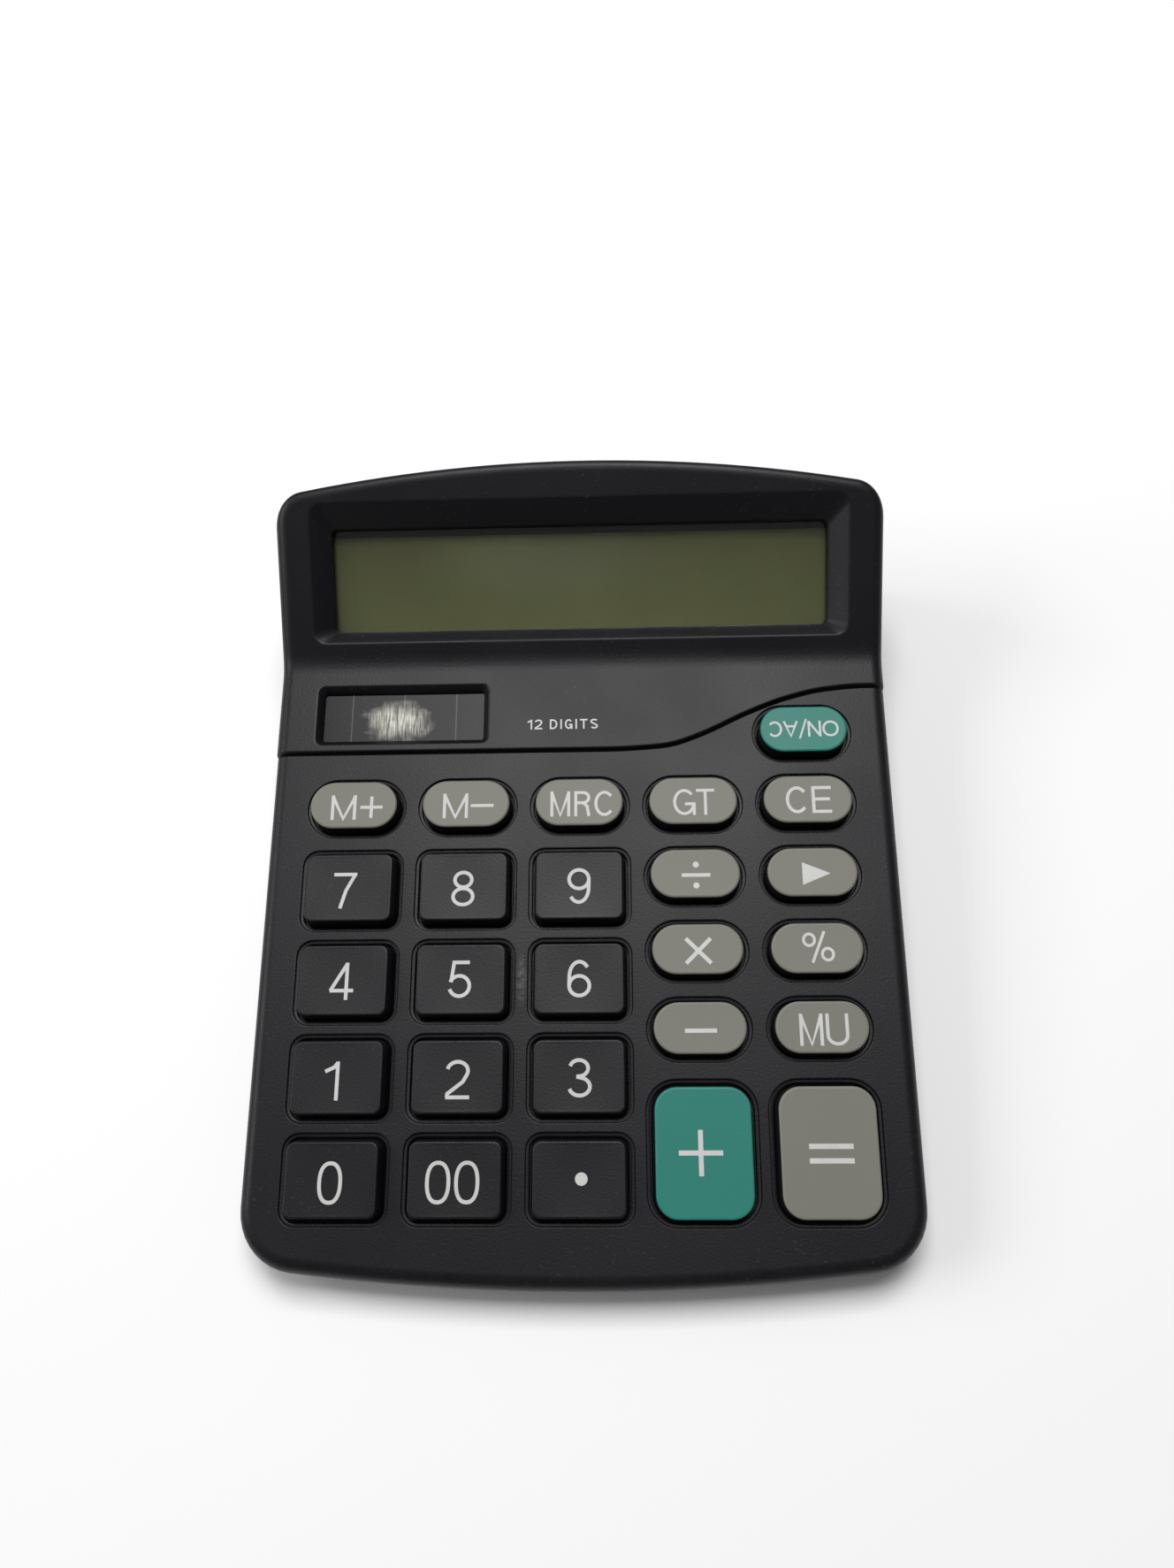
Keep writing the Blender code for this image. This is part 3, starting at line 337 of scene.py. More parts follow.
class Shell:
    """Points and faces gathered from sheets and from walls between rings."""

    def __init__(self):
        self.points = []
        self.faces = []

    def add_sheet(self, points, faces, flip=False):
        first = len(self.points)
        self.points += [tuple(p) for p in points]
        self.faces += [tuple(first + i for i in (f[::-1] if flip else f)) for f in faces]
        return first

    def add_wall(self, start, rings, end=None):
        """Walls from the numbered ring through new rings, and on to the ring numbered end if there is one."""
        below = list(start)
        for ring in list(rings) + ([None] if end else []):
            if ring is None:
                above = list(end)
            else:
                above = [len(self.points) + i for i in range(len(ring))]
                self.points += [tuple(p) for p in ring]
            for i in range(len(below)):
                self.faces.append((below[i - 1], below[i], above[i], above[i - 1]))
            below = above
        return below

    def add_ring(self, ring):
        self.points += [tuple(p) for p in ring]
        return list(range(len(self.points) - len(ring), len(self.points)))

    def add_loft(self, rings):
        """A closed body through rings of as many points each, with a flat face at both ends."""
        first = self.add_ring(rings[0])
        last = self.add_wall(first, rings[1:])
        self.faces += [tuple(first), tuple(last)]

    def add_post(self, place, radius, bore, bottom, top, bore_top, steps=24):
        """A round post with a blind hole up its middle."""
        section = ((bore - 0.02, bore_top), (bore, bottom + 0.25), (bore + 0.2, bottom))
        section += ((radius - 0.15, bottom), (radius, bottom + 0.15), (radius, top))
        self.add_loft([[place(x, y, z) for x, y in circle(r, steps)] for r, z in section])

    def add_block(self, place, width, depth, low, high, corner=0.3, soft=0.15, steps=3):
        """A slab with rounded corners and slightly broken edges, on the plane that place gives."""
        inner = -soft - min(0.3, 0.2 * min(width, depth))
        section = ((inner, low), (-soft, low), (-0.3 * soft, low + 0.3 * soft), (0.0, low + soft))
        section += ((0.0, high - soft), (-0.3 * soft, high - 0.3 * soft), (-soft, high), (inner, high))
        rings = []
        for grow, w in section:
            outline = rounded_ring(width + 2 * grow, depth + 2 * grow, max(corner + grow, 0.02), steps)
            rings.append([place(x, y, w) for x, y in outline])
        self.add_loft(rings)

    def mesh(self, name):
        """The mesh in metres, welded, with all its faces outward."""
        shape = bmesh.new()
        points = [shape.verts.new(Vector(p) * 0.001) for p in self.points]
        for face in self.faces:
            if len(set(face)) > 2:
                try:
                    shape.faces.new([points[i] for i in face])
                except ValueError:
                    pass
        bmesh.ops.remove_doubles(shape, verts=shape.verts, dist=1e-7)
        bmesh.ops.recalc_face_normals(shape, faces=shape.faces)
        mesh = bpy.data.meshes.new(name)
        shape.to_mesh(mesh)
        shape.free()
        return mesh


def shader_node(tree, kind, inputs=(), **settings):
    """A shader node. Each input is a value, or another node's output that is linked to it."""
    node = tree.nodes.new("ShaderNode" + kind)
    for key, value in settings.items():
        setattr(node, key, value)
    for key, value in dict(inputs).items():
        if isinstance(value, bpy.types.NodeSocket):
            tree.links.new(value, node.inputs[key])
        else:
            node.inputs[key].default_value = value
    return node


def shader_math(tree, operation, a, b=0.0, clamp=False):
    return shader_node(tree, "Math", {0: a, 1: b}, operation=operation, use_clamp=clamp).outputs[0]


def shader_mix(tree, share, a, b):
    node = shader_node(tree, "Mix", {0: share, 6: a, 7: b}, data_type="RGBA")
    return node.outputs[2]


def shader_group(name, inputs, outputs):
    """An empty shader node group with named sockets, and the nodes at its two ends."""
    tree = bpy.data.node_groups.new(name, "ShaderNodeTree")
    for label, value in inputs.items():
        kind = "NodeSocketColor" if isinstance(value, tuple) else "NodeSocketFloat"
        tree.interface.new_socket(label, in_out="INPUT", socket_type=kind).default_value = value
    for label, kind in outputs.items():
        tree.interface.new_socket(label, in_out="OUTPUT", socket_type="NodeSocket" + kind)
    return tree, tree.nodes.new("NodeGroupInput").outputs, tree.nodes.new("NodeGroupOutput").inputs


def make_surface_group():
    """Fine grain, slow unevenness, dust in patches, and edges polished by handling."""
    inputs = {
        "Colour": (0.5, 0.5, 0.5, 1.0),
        "Worn Colour": (0.5, 0.5, 0.5, 1.0),
        "Roughness": 0.5,
        "Grain Size": 0.0003,
        "Variation": 0.2,
        "Wear": 0.3,
        "Dust": 0.2,
    }
    outputs = {"Colour": "Color", "Roughness": "Float", "Height": "Float"}
    tree, given, out = shader_group("moulded_surface", inputs, outputs)
    place = shader_node(tree, "TexCoord").outputs["Object"]

    def noise(scale, detail):
        return shader_node(tree, "TexNoise", {"Vector": place, "Scale": scale, "Detail": detail}).outputs[0]

    def rising(value, low, high):
        return shader_node(tree, "MapRange", {0: value, 1: low, 2: high}).outputs[0]

    grain = noise(shader_math(tree, "DIVIDE", 1.0, given["Grain Size"]), 2.0)
    broad = shader_math(tree, "SUBTRACT", noise(42.0, 3.0), 0.5)
    specks = rising(noise(1500.0, 1.0), 0.66, 0.74)
    dust = shader_math(tree, "MULTIPLY", specks, rising(noise(95.0, 2.0), 0.42, 0.66))
    dust = shader_math(tree, "MULTIPLY", dust, given["Dust"], clamp=True)
    edge = shader_node(tree, "Attribute", attribute_name="edge").outputs["Fac"]
    worn = shader_math(tree, "MULTIPLY", edge, rising(noise(420.0, 3.0), 0.3, 0.62))
    worn = shader_math(tree, "MULTIPLY", worn, given["Wear"], clamp=True)
    uneven = shader_math(tree, "MULTIPLY", broad, given["Variation"])
    shade = shader_math(tree, "ADD", shader_math(tree, "MULTIPLY", uneven, 2.0), 1.0)
    flecks = shader_math(tree, "MULTIPLY", shader_math(tree, "SUBTRACT", grain, 0.5), given["Variation"])
    shade = shader_math(tree, "ADD", shade, flecks)
    colour = shader_node(tree, "VectorMath", {0: given["Colour"], "Scale": shade}, operation="SCALE").outputs[0]
    colour = shader_mix(tree, worn, colour, given["Worn Colour"])
    colour = shader_mix(tree, dust, colour, (0.34, 0.33, 0.31, 1.0))
    rough = shader_math(tree, "ADD", given["Roughness"], shader_math(tree, "MULTIPLY", uneven, 0.7))
    rough = shader_math(tree, "SUBTRACT", rough, shader_math(tree, "MULTIPLY", worn, 0.14))
    rough = shader_math(tree, "ADD", rough, shader_math(tree, "MULTIPLY", dust, 0.3), clamp=True)
    for label, value in (("Colour", colour), ("Roughness", rough), ("Height", grain)):
        tree.links.new(value, out[label])
    return tree


surface_group = make_surface_group()


def make_finish(
    name, colour, roughness, worn=None, size=0.0003, depth=1e-5, variation=0.2, wear=0.3, dust=0.2, **shader
):
    """A material with its own values in the surface group. Other settings go to the shader's own sockets."""
    material = bpy.data.materials.new(name)
    material.use_nodes = True
    tree = material.node_tree
    lit = tree.nodes["Principled BSDF"]
    surface = tree.nodes.new("ShaderNodeGroup")
    surface.node_tree = surface_group
    surface.name = "surface"
    worn = worn or [c * 1.8 + 0.01 for c in colour]
    values = (*colour, 1.0), (*worn, 1.0), roughness, size, variation, wear, dust
    for socket, value in zip(surface.inputs, values):
        socket.default_value = value
    relief = shader_node(tree, "Bump", {"Distance": depth, "Height": surface.outputs["Height"]})
    tree.links.new(surface.outputs["Colour"], lit.inputs["Base Color"])
    tree.links.new(surface.outputs["Roughness"], lit.inputs["Roughness"])
    tree.links.new(relief.outputs[0], lit.inputs["Normal"])
    for label, value in shader.items():
        lit.inputs[label.replace("_", " ")].default_value = value
    material.diffuse_color = (*colour, 1.0)
    return material


def mark_edges(shape):
    """How sharp each point's outward edges are, from 0 to 1, for the wear on them."""
    layer = shape.verts.layers.float.new("edge")
    for vert in shape.verts:
        bends = [edge.calc_face_angle_signed(0.0) for edge in vert.link_edges if len(edge.link_faces) == 2]
        wide = max((face.calc_area() for face in vert.link_faces), default=0.0) > 1.2e-5
        vert[layer] = 0.0 if wide else min(1.0, max(0.0, max(bends, default=0.0) * 2.2))


def show(name, mesh, body, finish, slot, *nodes, sharp=40.0):
    """Puts a finished mesh in the scene, in place of its CAD nodes, moving with its body."""
    shape = bmesh.new()
    shape.from_mesh(mesh)
    mark_edges(shape)
    for face in shape.faces:
        face.material_index = 0
    shape.to_mesh(mesh)
    shape.free()
    mesh.shade_smooth()
    mesh.set_sharp_from_angle(angle=math.radians(sharp))
    mesh.materials.clear()
    mesh.materials.append(finish)
    piece = bpy.data.objects.new(name, mesh)
    bpy.context.scene.collection.objects.link(piece)
    if nodes:
        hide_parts(*nodes)
    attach(piece, body)
    return piece


def make_upper_case():
    fold_stops = [fold_start + (fold_end - fold_start) * i / 8 for i in range(9)]
    slopes = math.tan(HEAD_SLOPE) - math.tan(DECK_SLOPE)
    crease = FOLD_Y + (deck_height(FOLD_Y, -DECK_WALL) - head_height(FOLD_Y, -CASE_WALL)) / slopes
    stops = list(np.arange(-58, 66, 2.0)) + fold_stops + [fold_start - 0.3, fold_end + 0.3, crease]
    lines = [offset_line(band_line, distance) for distance, _ in BAND_SECTION]
    lines = [line[(abs(line[:, 0]) < BODY_HALF)] for line in lines]
    for line in lines:
        line[0][0], line[-1][0] = -BODY_HALF, BODY_HALF
        stops += [line[0][1], line[-1][1]]
    low, high = (body_corner(*end)[0][1] for end in BODY_ENDS)
    stops = sorted(s for s in stops if low + 0.2 < s < high - 0.2)
    stops = [s for i, s in enumerate(stops) if i == 0 or s - stops[i - 1] > 1e-3]

    # The outside: rings close together where the edge is rounded, and lines along the fold and the band.
    turns = [EDGE_ROUND * (1 - math.cos(math.radians(a))) for a in (12, 25, 38, 51, 64, 77, 90)]
    rings = [body_ring(inset, stops) for inset in turns + [EDGE_ROUND + 0.3]]
    for _, shape, u, v in key_table:
        rings.append([on_deck(u + a, v + b)[:2] for a, b in key_outline(shape, 1.74)])
    rings.append(quad_ring(on_head, 52.6, 3.8, 31.7, 0.0, 2.8))
    rings.append(quad_ring(on_solar, 17.15, -6.5, 6.5, 0.9, 1.6))
    lines += [
        [(-BODY_HALF, stop), (BODY_HALF, stop)] for stop in fold_stops + [fold_start - 0.3, fold_end + 0.3]
    ]
    outline = body_ring(0.0, stops)
    shell = Shell()
    points, faces, loops = skin(top_height, outline, [stack[0] for stack in hole_stacks], rings, lines)
    first = shell.add_sheet(points, faces)
    outer = [first + i for i in loops[0]]
    tops = [[first + i for i in loop] for loop in loops[1:]]

    # The inside: the ceiling follows the deck and the head, with the same holes.
    def ceiling(x, y):
        return np.minimum(np.maximum(deck_height(y, -DECK_WALL), head_height(y, -CASE_WALL)), 60)

    inner_outline = body_ring(CASE_WALL, stops)
    across = [[(CASE_WALL - BODY_HALF, crease), (BODY_HALF - CASE_WALL, crease)]]
    points, faces, loops = skin(ceiling, inner_outline, [stack[-1] for stack in hole_stacks], (), across)
    first = shell.add_sheet(points, faces, flip=True)
    inner = [first + i for i in loops[0]]
    bottoms = [[first + i for i in loop] for loop in loops[1:]]
    for top, stack, bottom in zip(tops, hole_stacks, bottoms):
        shell.add_wall(top, stack[1:-1], bottom)

    # The outer wall, the rim with its rebate for the lower case's lip, and the inner wall.
    def level_ring(inset, w):
        return [(x, y, deck_height(y, w)) for x, y in body_ring(inset, stops)]

    rim = (
        (0.0, PARTING + 0.3), (0.06, PARTING + 0.12), (0.22, PARTING), (1.0, PARTING), (1.0, -3.8),
        (CASE_WALL, -3.8),
    )
    shell.add_wall(outer, [level_ring(*place) for place in rim], inner)

    # Posts under the deck for the board, and bosses that the case screws turn into.
    for u, v in BOARD_SCREWS:
        shell.add_post(lambda x, y, w: on_deck(u + x, v + y, w), 1.7, 1.0, -5.3, -1.0, -2.5)
    for x, y in CASE_SCREWS:
        roof = max(deck_height(y - 2.3, -DECK_WALL), head_height(y - 2.3, -CASE_WALL)) + 0.9
        shell.add_post(lambda a, b, z: (x + a, y + b, z), 2.3, 1.25, 5.5, roof, 8.9)
    for side in (-1, 1):
        shell.add_post(lambda x, t, n: on_head(side * 15 + x, 28.9 + t, n), 1.6, 1.0, -7.7, -2.4, -4.0)
    return shell.mesh("upper_case_shell")


# Black ABS: near black, with a soft sheen. The screens of the deck are a little polished by fingers.
black_case = make_finish(
    "black_case", (0.0054, 0.0057, 0.0075), 0.43, size=0.00038, depth=2.6e-5, variation=0.22, wear=0.35,
    dust=0.05, Specular_IOR_Level=0.24,
)


def add_polish(material, middle, size, amount):
    """A rubbed patch, where the texture is worn smooth: lower roughness inside an upright oval."""
    tree = material.node_tree
    lit, surface = tree.nodes["Principled BSDF"], tree.nodes["surface"]
    place = shader_node(tree, "TexCoord").outputs["Object"]
    near = shader_node(tree, "Mapping", {0: place, 1: middle, 3: size}, vector_type="TEXTURE").outputs[0]
    reach = shader_node(tree, "VectorMath", {0: near}, operation="LENGTH").outputs["Value"]
    rubbed = shader_node(tree, "MapRange", {0: reach, 1: 1.0, 2: 0.25}).outputs[0]
    lines = shader_node(tree, "TexNoise", {"Vector": place, "Scale": 900.0, "Detail": 3.0}).outputs[0]
    lines = shader_node(tree, "MapRange", {0: lines, 1: 0.35, 2: 0.62}).outputs[0]
    rubbed = shader_math(tree, "MULTIPLY", shader_math(tree, "MULTIPLY", rubbed, lines), amount)
    tree.links.new(
        shader_math(tree, "SUBTRACT", surface.outputs["Roughness"], rubbed, clamp=True), lit.inputs["Roughness"]
    )
    colour = shader_mix(
        tree, shader_math(tree, "MULTIPLY", rubbed, 1.6, clamp=True), surface.outputs["Colour"],
        (0.2, 0.19, 0.16, 1),
    )
    tree.links.new(colour, lit.inputs["Base Color"])


add_polish(black_case, Vector(on_deck(-10.6, -32.6)) * 0.001, (0.0011, 0.0052, 0.004), 0.22)
show("upper_case_shell", make_upper_case(), "case", black_case, "case", "upper_case")

# ---------------------------------------------------------------------------------------------------------
# Display window. A clear polycarbonate plate that drops into the box behind the bevelled recess and closes it
# against the ledge, so that only its face shows.

WINDOW_SIZE = (98.2, 21.6)
WINDOW_T = 16.45


def on_window(x, y, n):
    return on_head(x, WINDOW_T + y, n)


shell = Shell()
shell.add_block(on_window, *WINDOW_SIZE, -5.4, -4.4, 0.5, 0.12)
clear_plate = make_finish(
    "clear_plate", (0.9, 0.92, 0.88), 0.045, (0.9, 0.9, 0.9), size=0.0012, depth=2e-7, variation=0.03, wear=0.2,
    dust=0.08, Transmission_Weight=1.0, IOR=1.5,
)
show(
    "display_window_plate", shell.mesh("display_window_plate"), "case", clear_plate, "window", "display_window"
)

# A black border on the plate's underside along its rear edge: printed ink, together with painted shade where the
# recess's upper wall shades the glass.
border = Shell()
border.add_block(lambda x, y, n: on_head(x, 26.0 + y, n), 98.0, 2.2, -5.6, -5.48, 0.2, 0.02, 2)
border_ink_and_shade = make_finish(
    "border_ink_and_shade", (0.004, 0.004, 0.005), 0.5, size=0.0003, depth=2e-6, variation=0.2, wear=0.1, dust=0.1
)
show("display_window_border", border.mesh("display_window_border"), "case", border_ink_and_shade, None)

# ---------------------------------------------------------------------------------------------------------
# Liquid crystal glass. Two glass sheets with an olive reflector behind them, lying right under the window.
# It is off, so it shows only its own green grey, with painted shade along its top edge and a painted reflection over
# its upper middle.

shell = Shell()
shell.add_block(on_window, *WINDOW_SIZE, -7.7, -5.7, 0.4, 0.1)
olive_glass = make_finish(
    "olive_glass", (0.225, 0.226, 0.098), 0.36, size=0.0006, depth=2e-6, variation=0.1, wear=0.1, dust=0.25,
    Coat_Weight=0.1, Coat_Roughness=0.06, Specular_IOR_Level=0.3,
)


def add_painted_shade_and_reflection(material):
    """Painted shade from darker at the top edge to paler below, and a painted reflection as a pale glow over the
    upper middle.
    """
    tree = material.node_tree
    surface, lit = tree.nodes["surface"], tree.nodes["Principled BSDF"]
    place = shader_node(tree, "TexCoord").outputs["Object"]
    height = shader_node(tree, "SeparateXYZ", {0: place}).outputs["Y"]
    low, high = on_window(0, -11, -6)[1] * 0.001, on_window(0, 11, -6)[1] * 0.001
    # Painted shade: the colour falls to 0.62 of itself towards the top edge.
    share = shader_node(tree, "MapRange", {0: height, 1: low, 2: high, 3: 1.0, 4: 0.62}).outputs[0]
    cloud = shader_node(tree, "TexNoise", {"Vector": place, "Scale": 30.0, "Detail": 2.0}).outputs[0]
    share = shader_math(
        tree, "MULTIPLY", share, shader_math(tree, "ADD", shader_math(tree, "MULTIPLY", cloud, 0.5), 0.75)
    )
    colour = shader_node(
        tree, "VectorMath", {0: surface.outputs["Colour"], "Scale": share}, operation="SCALE"
    ).outputs[0]
    # Painted reflection: a pale glow over the upper middle of the glass.
    middle = Vector(on_window(-6, 3.5, -5.7)) * 0.001
    near = shader_node(
        tree, "Mapping", {0: place, 1: middle, 3: (0.03, 0.0095, 0.02)}, vector_type="TEXTURE"
    ).outputs[0]
    reach = shader_node(tree, "VectorMath", {0: near}, operation="LENGTH").outputs["Value"]
    painted_reflection_glow = shader_node(
        tree, "MapRange", {0: reach, 1: 1.0, 2: 0.2, 4: 0.32}, interpolation_type="SMOOTHSTEP"
    ).outputs[0]
    tree.links.new(shader_mix(tree, painted_reflection_glow, colour, (0.27, 0.28, 0.2, 1)), lit.inputs["Base Color"])


add_painted_shade_and_reflection(olive_glass)
show("lcd_glass_sheets", shell.mesh("lcd_glass_sheets"), "case", olive_glass, "lcd", "lcd_glass")

# ---------------------------------------------------------------------------------------------------------
# Display frame. A thin black moulding with two windows that holds the glass in its box. Two small screws
# through its rear tab go into posts behind the recess.

shell = Shell()


def add_bar(x, t, width, depth):
    shell.add_block(lambda a, b, n: on_head(x + a, t + b, n), width, depth, -9.0, -8.0, 0.6, 0.15)


for t, depth in ((10.5, 3.0), (25.5, 3.0)):
    add_bar(0, t, 98.0, depth)
for x, width in ((-46.0, 6.0), (0.0, 6.0), (46.0, 6.0)):
    add_bar(x, 18.0, width, 17.9)
add_bar(0, 28.3, 36.0, 4.6)
show("lcd_holder_frame", shell.mesh("lcd_holder_frame"), "case", black_case, "case", "lcd_holder")

# ---------------------------------------------------------------------------------------------------------
# Flat lead. An amber polyimide film with copper tracks inside, hot pressed onto the glass's underside, which
# curves down and forward onto the board.

RIBBON_BOTTOM = -8.24


def smooth_path(points, steps=8):
    """Points along a smooth curve through the given ones."""
    points = [np.array(p, float) for p in points]
    path = []
    for i in range(len(points) - 1):
        before, after = points[max(i - 1, 0)], points[min(i + 2, len(points) - 1)]
        a, b = points[i], points[i + 1]
        for step in range(steps):
            s = step / steps
            path.append(
                a * (1 - 3 * s**2 + 2 * s**3) + b * (3 * s**2 - 2 * s**3)
                + (b - before) * 0.5 * s * (1 - s) ** 2 - (after - a) * 0.5 * s**2 * (1 - s)
            )
    return path + [points[-1]]


def make_ribbon():
    start, bend = on_head(0, 8.2, RIBBON_BOTTOM), on_head(0, 1.0, RIBBON_BOTTOM)
    guides = [
        np.array(p)
        for p in (bend, on_head(0, -1.4, RIBBON_BOTTOM), on_deck(0, 27.5, -5.3), on_deck(0, 24.4, -5.3))
    ]
    under = [np.array(start)]
    for step in range(17):
        s = step / 16
        weights = (1 - s) ** 3, 3 * s * (1 - s) ** 2, 3 * s**2 * (1 - s), s**3
        under.append(sum(w * g for w, g in zip(weights, guides)))
    under.append(np.array(on_deck(0, 21.8, -5.3)))
    lean = (HEAD_SLOPE + DECK_SLOPE) / 2
    up = np.array((0, -math.sin(lean), math.cos(lean))) * 0.22
    shell = Shell()
    rings = []
    for p in under:
        q = p + up
        rings.append([(-30, p[1], p[2]), (30, p[1], p[2]), (30, q[1], q[2]), (-30, q[1], q[2])])
    shell.add_loft(rings)
    return shell.mesh("lcd_ribbon_film")


amber_film = make_finish(
    "amber_film", (0.34, 0.15, 0.035), 0.3, size=0.0008, depth=1e-6, variation=0.2, wear=0.1, dust=0.2
)


def add_tracks(material):
    """Copper tracks seen through the film: even upright lines across its width."""
    tree = material.node_tree
    surface, lit = tree.nodes["surface"], tree.nodes["Principled BSDF"]
    place = shader_node(tree, "TexCoord").outputs["Object"]
    across = shader_node(tree, "SeparateXYZ", {0: place}).outputs["X"]
    wave = shader_math(tree, "SINE", shader_math(tree, "MULTIPLY", across, 2 * math.pi / 0.0012))
    track = shader_node(tree, "MapRange", {0: wave, 1: -0.1, 2: 0.15}).outputs[0]
    colour = shader_mix(tree, track, surface.outputs["Colour"], (0.5, 0.24, 0.09, 1))
    tree.links.new(colour, lit.inputs["Base Color"])


add_tracks(amber_film)
show("lcd_ribbon_film", make_ribbon(), "case", amber_film, "film", "lcd_ribbon")

# ---------------------------------------------------------------------------------------------------------
# Solar cell. A dark amorphous silicon strip on glass, in four cells with pale gaps, glued under the opening
# in the band. Its face is smooth, with a streaked painted reflection of the lamp near its middle.

shell = Shell()
shell.add_block(on_solar, 34.6, 13.0, -2.1, -1.0, 0.4, 0.1)
cell_glass = make_finish(
    "cell_glass", (0.012, 0.011, 0.012), 0.3, size=0.0009, depth=1.5e-6, variation=0.2, wear=0.2, dust=0.2,
    Specular_IOR_Level=0.13,
)


def add_cell_gaps_and_painted_reflection(material):
    """Upright gaps between the cells, and a painted reflection of the lamp: a pale streaked patch across the glass.
    """
    tree = material.node_tree
    surface, lit = tree.nodes["surface"], tree.nodes["Principled BSDF"]
    place = shader_node(tree, "TexCoord").outputs["Object"]
    across = shader_node(tree, "SeparateXYZ", {0: place}).outputs["X"]
    colour = surface.outputs["Colour"]
    for x in (-10.2, 0.0, 10.2):
        off = shader_math(tree, "ABSOLUTE", shader_math(tree, "SUBTRACT", across, (SOLAR_U + x) * 0.001))
        line = shader_node(tree, "MapRange", {0: off, 1: 0.00016, 2: 0.00008}).outputs[0]
        colour = shader_mix(tree, shader_math(tree, "MULTIPLY", line, 0.75), colour, (0.1, 0.095, 0.09, 1))
    # Painted reflection of the lamp: a pale streaked patch near the middle, also made rougher there.
    near = shader_node(
        tree, "Mapping", {0: place, 1: (-0.0355, 0.0286, 0.018), 3: (0.0072, 0.0044, 0.01)},
        vector_type="TEXTURE",
    )
    reach = shader_node(tree, "VectorMath", {0: near.outputs[0]}, operation="LENGTH").outputs["Value"]
    ragged = shader_node(tree, "TexNoise", {"Vector": place, "Scale": 420.0, "Detail": 3.0}).outputs[0]
    reach = shader_math(
        tree, "ADD", reach, shader_math(tree, "MULTIPLY", shader_math(tree, "SUBTRACT", ragged, 0.5), 0.8)
    )
    patch = shader_node(tree, "MapRange", {0: reach, 1: 1.0, 2: 0.3}).outputs[0]
    fine = shader_node(tree, "Mapping", {0: place, 3: (9000.0, 260.0, 260.0)}).outputs[0]
    streak = shader_node(
        tree, "TexNoise", {"Vector": fine, "Scale": 1.0, "Detail": 4.0, "Roughness": 0.7}
    ).outputs[0]
    streak = shader_node(tree, "MapRange", {0: streak, 1: 0.4, 2: 0.6}).outputs[0]
    painted_reflection_streaks = shader_math(tree, "MULTIPLY", shader_math(tree, "MULTIPLY", patch, streak), 1.1, clamp=True)
    tree.links.new(shader_mix(tree, painted_reflection_streaks, colour, (0.8, 0.79, 0.7, 1)), lit.inputs["Base Color"])
    rough = shader_math(
        tree, "ADD", surface.outputs["Roughness"], shader_math(tree, "MULTIPLY", painted_reflection_streaks, 0.25), clamp=True
    )
    tree.links.new(rough, lit.inputs["Roughness"])


add_cell_gaps_and_painted_reflection(cell_glass)
show("solar_cell_strip", shell.mesh("solar_cell_strip"), "case", cell_glass, "solar", "solar_cell")

# ---------------------------------------------------------------------------------------------------------
# Keys. Hollow ABS caps with draft on their sides, a soft upper edge, a flange that holds them under the deck
# and a plunger over their dome. The number keys are very slightly dished. The marks are printed in pale ink.

CAP_RISE = 2.6
CAP_RINGS = (
    (0.58, -2.1), (0.55, -1.8), (0.33, 0.0), (0.04, 2.28), (0.02, 2.38), (-0.03, 2.48), (-0.12, 2.56),
    (-0.25, 2.6),
)
STEEP_RINGS = (
    (0.58, -2.1), (0.55, -1.8), (0.43, 0.0), (0.26, 2.2), (0.23, 2.34), (0.15, 2.46), (0.03, 2.56), (-0.12, 2.6)
)
FLANGE_RINGS = ((1.78, -2.9), (-0.62, -2.9), (-0.62, 1.4))
DISH = {NUMBER_TOP: 0.12, OVAL_TOP: 0.05, TALL_TOP: 0.08}


def cap_surface(shape, a, b):
    """Height of a cap's top over a point of the key, with its dish."""
    across, along = min(1.0, abs(2 * a / shape[0])), min(1.0, abs(2 * b / shape[1]))
    return CAP_RISE - DISH[shape] * (1 - across**2) * (1 - along**2)


def full_outline(shape, extra):
    """The key's outline with more points along its straight sides, so that its top can be dished."""
    ring = key_outline(shape, extra)
    corner = len(ring) // 4
    dense = []
    for i, point in enumerate(ring):
        dense.append(point)
        if i % corner == corner - 1:
            after = ring[(i + 1) % len(ring)]
            dense += [tuple(p + (q - p) * step / 8 for p, q in zip(point, after)) for step in range(1, 8)]
    return dense


def make_cap(name, shape, u, v):
    shell = Shell()

    def place(ring, w=None):
        return [on_deck(u + a, v + b, cap_surface(shape, a, b) if w is None else w) for a, b in ring]

    flange = shell.add_ring(place(full_outline(shape, 1.78), -2.1))
    rings = STEEP_RINGS if shape == OVAL_TOP else CAP_RINGS
    top = shell.add_wall(flange, [place(full_outline(shape, grow), w) for grow, w in rings])
    outline = full_outline(shape, rings[-1][0])
    for share in (0.98, 0.9, 0.8, 0.7, 0.6, 0.5, 0.4, 0.3, 0.2, 0.1):
        top = shell.add_wall(top, [place([(a * share, b * share) for a, b in outline])])
    shell.faces.append(tuple(top))
    inner = shell.add_wall(flange, [place(full_outline(shape, grow), w) for grow, w in FLANGE_RINGS])
    for radius, w in ((2.0, 1.4), (2.0, -2.9)):
        inner = shell.add_wall(inner, [place(circle(radius, len(outline)), w)])
    shell.faces.append(tuple(inner))
    return shell.mesh(name)


# The printed marks: each is drawn as centre lines in a box of its own width and height, in millimetres.

def bow(cx, cy, rx, ry, start, end, steps=14, square=2.0):
    """Part of an ellipse between two angles in degrees; square above 2 makes it squarer."""
    path = []
    for i in range(steps + 1):
        a = math.radians(start + (end - start) * i / steps)
        c, s = math.cos(a), math.sin(a)
        path.append(
            (
                cx + rx * math.copysign(abs(c) ** (2 / square), c),
                cy + ry * math.copysign(abs(s) ** (2 / square), s),
            )
        )
    return path


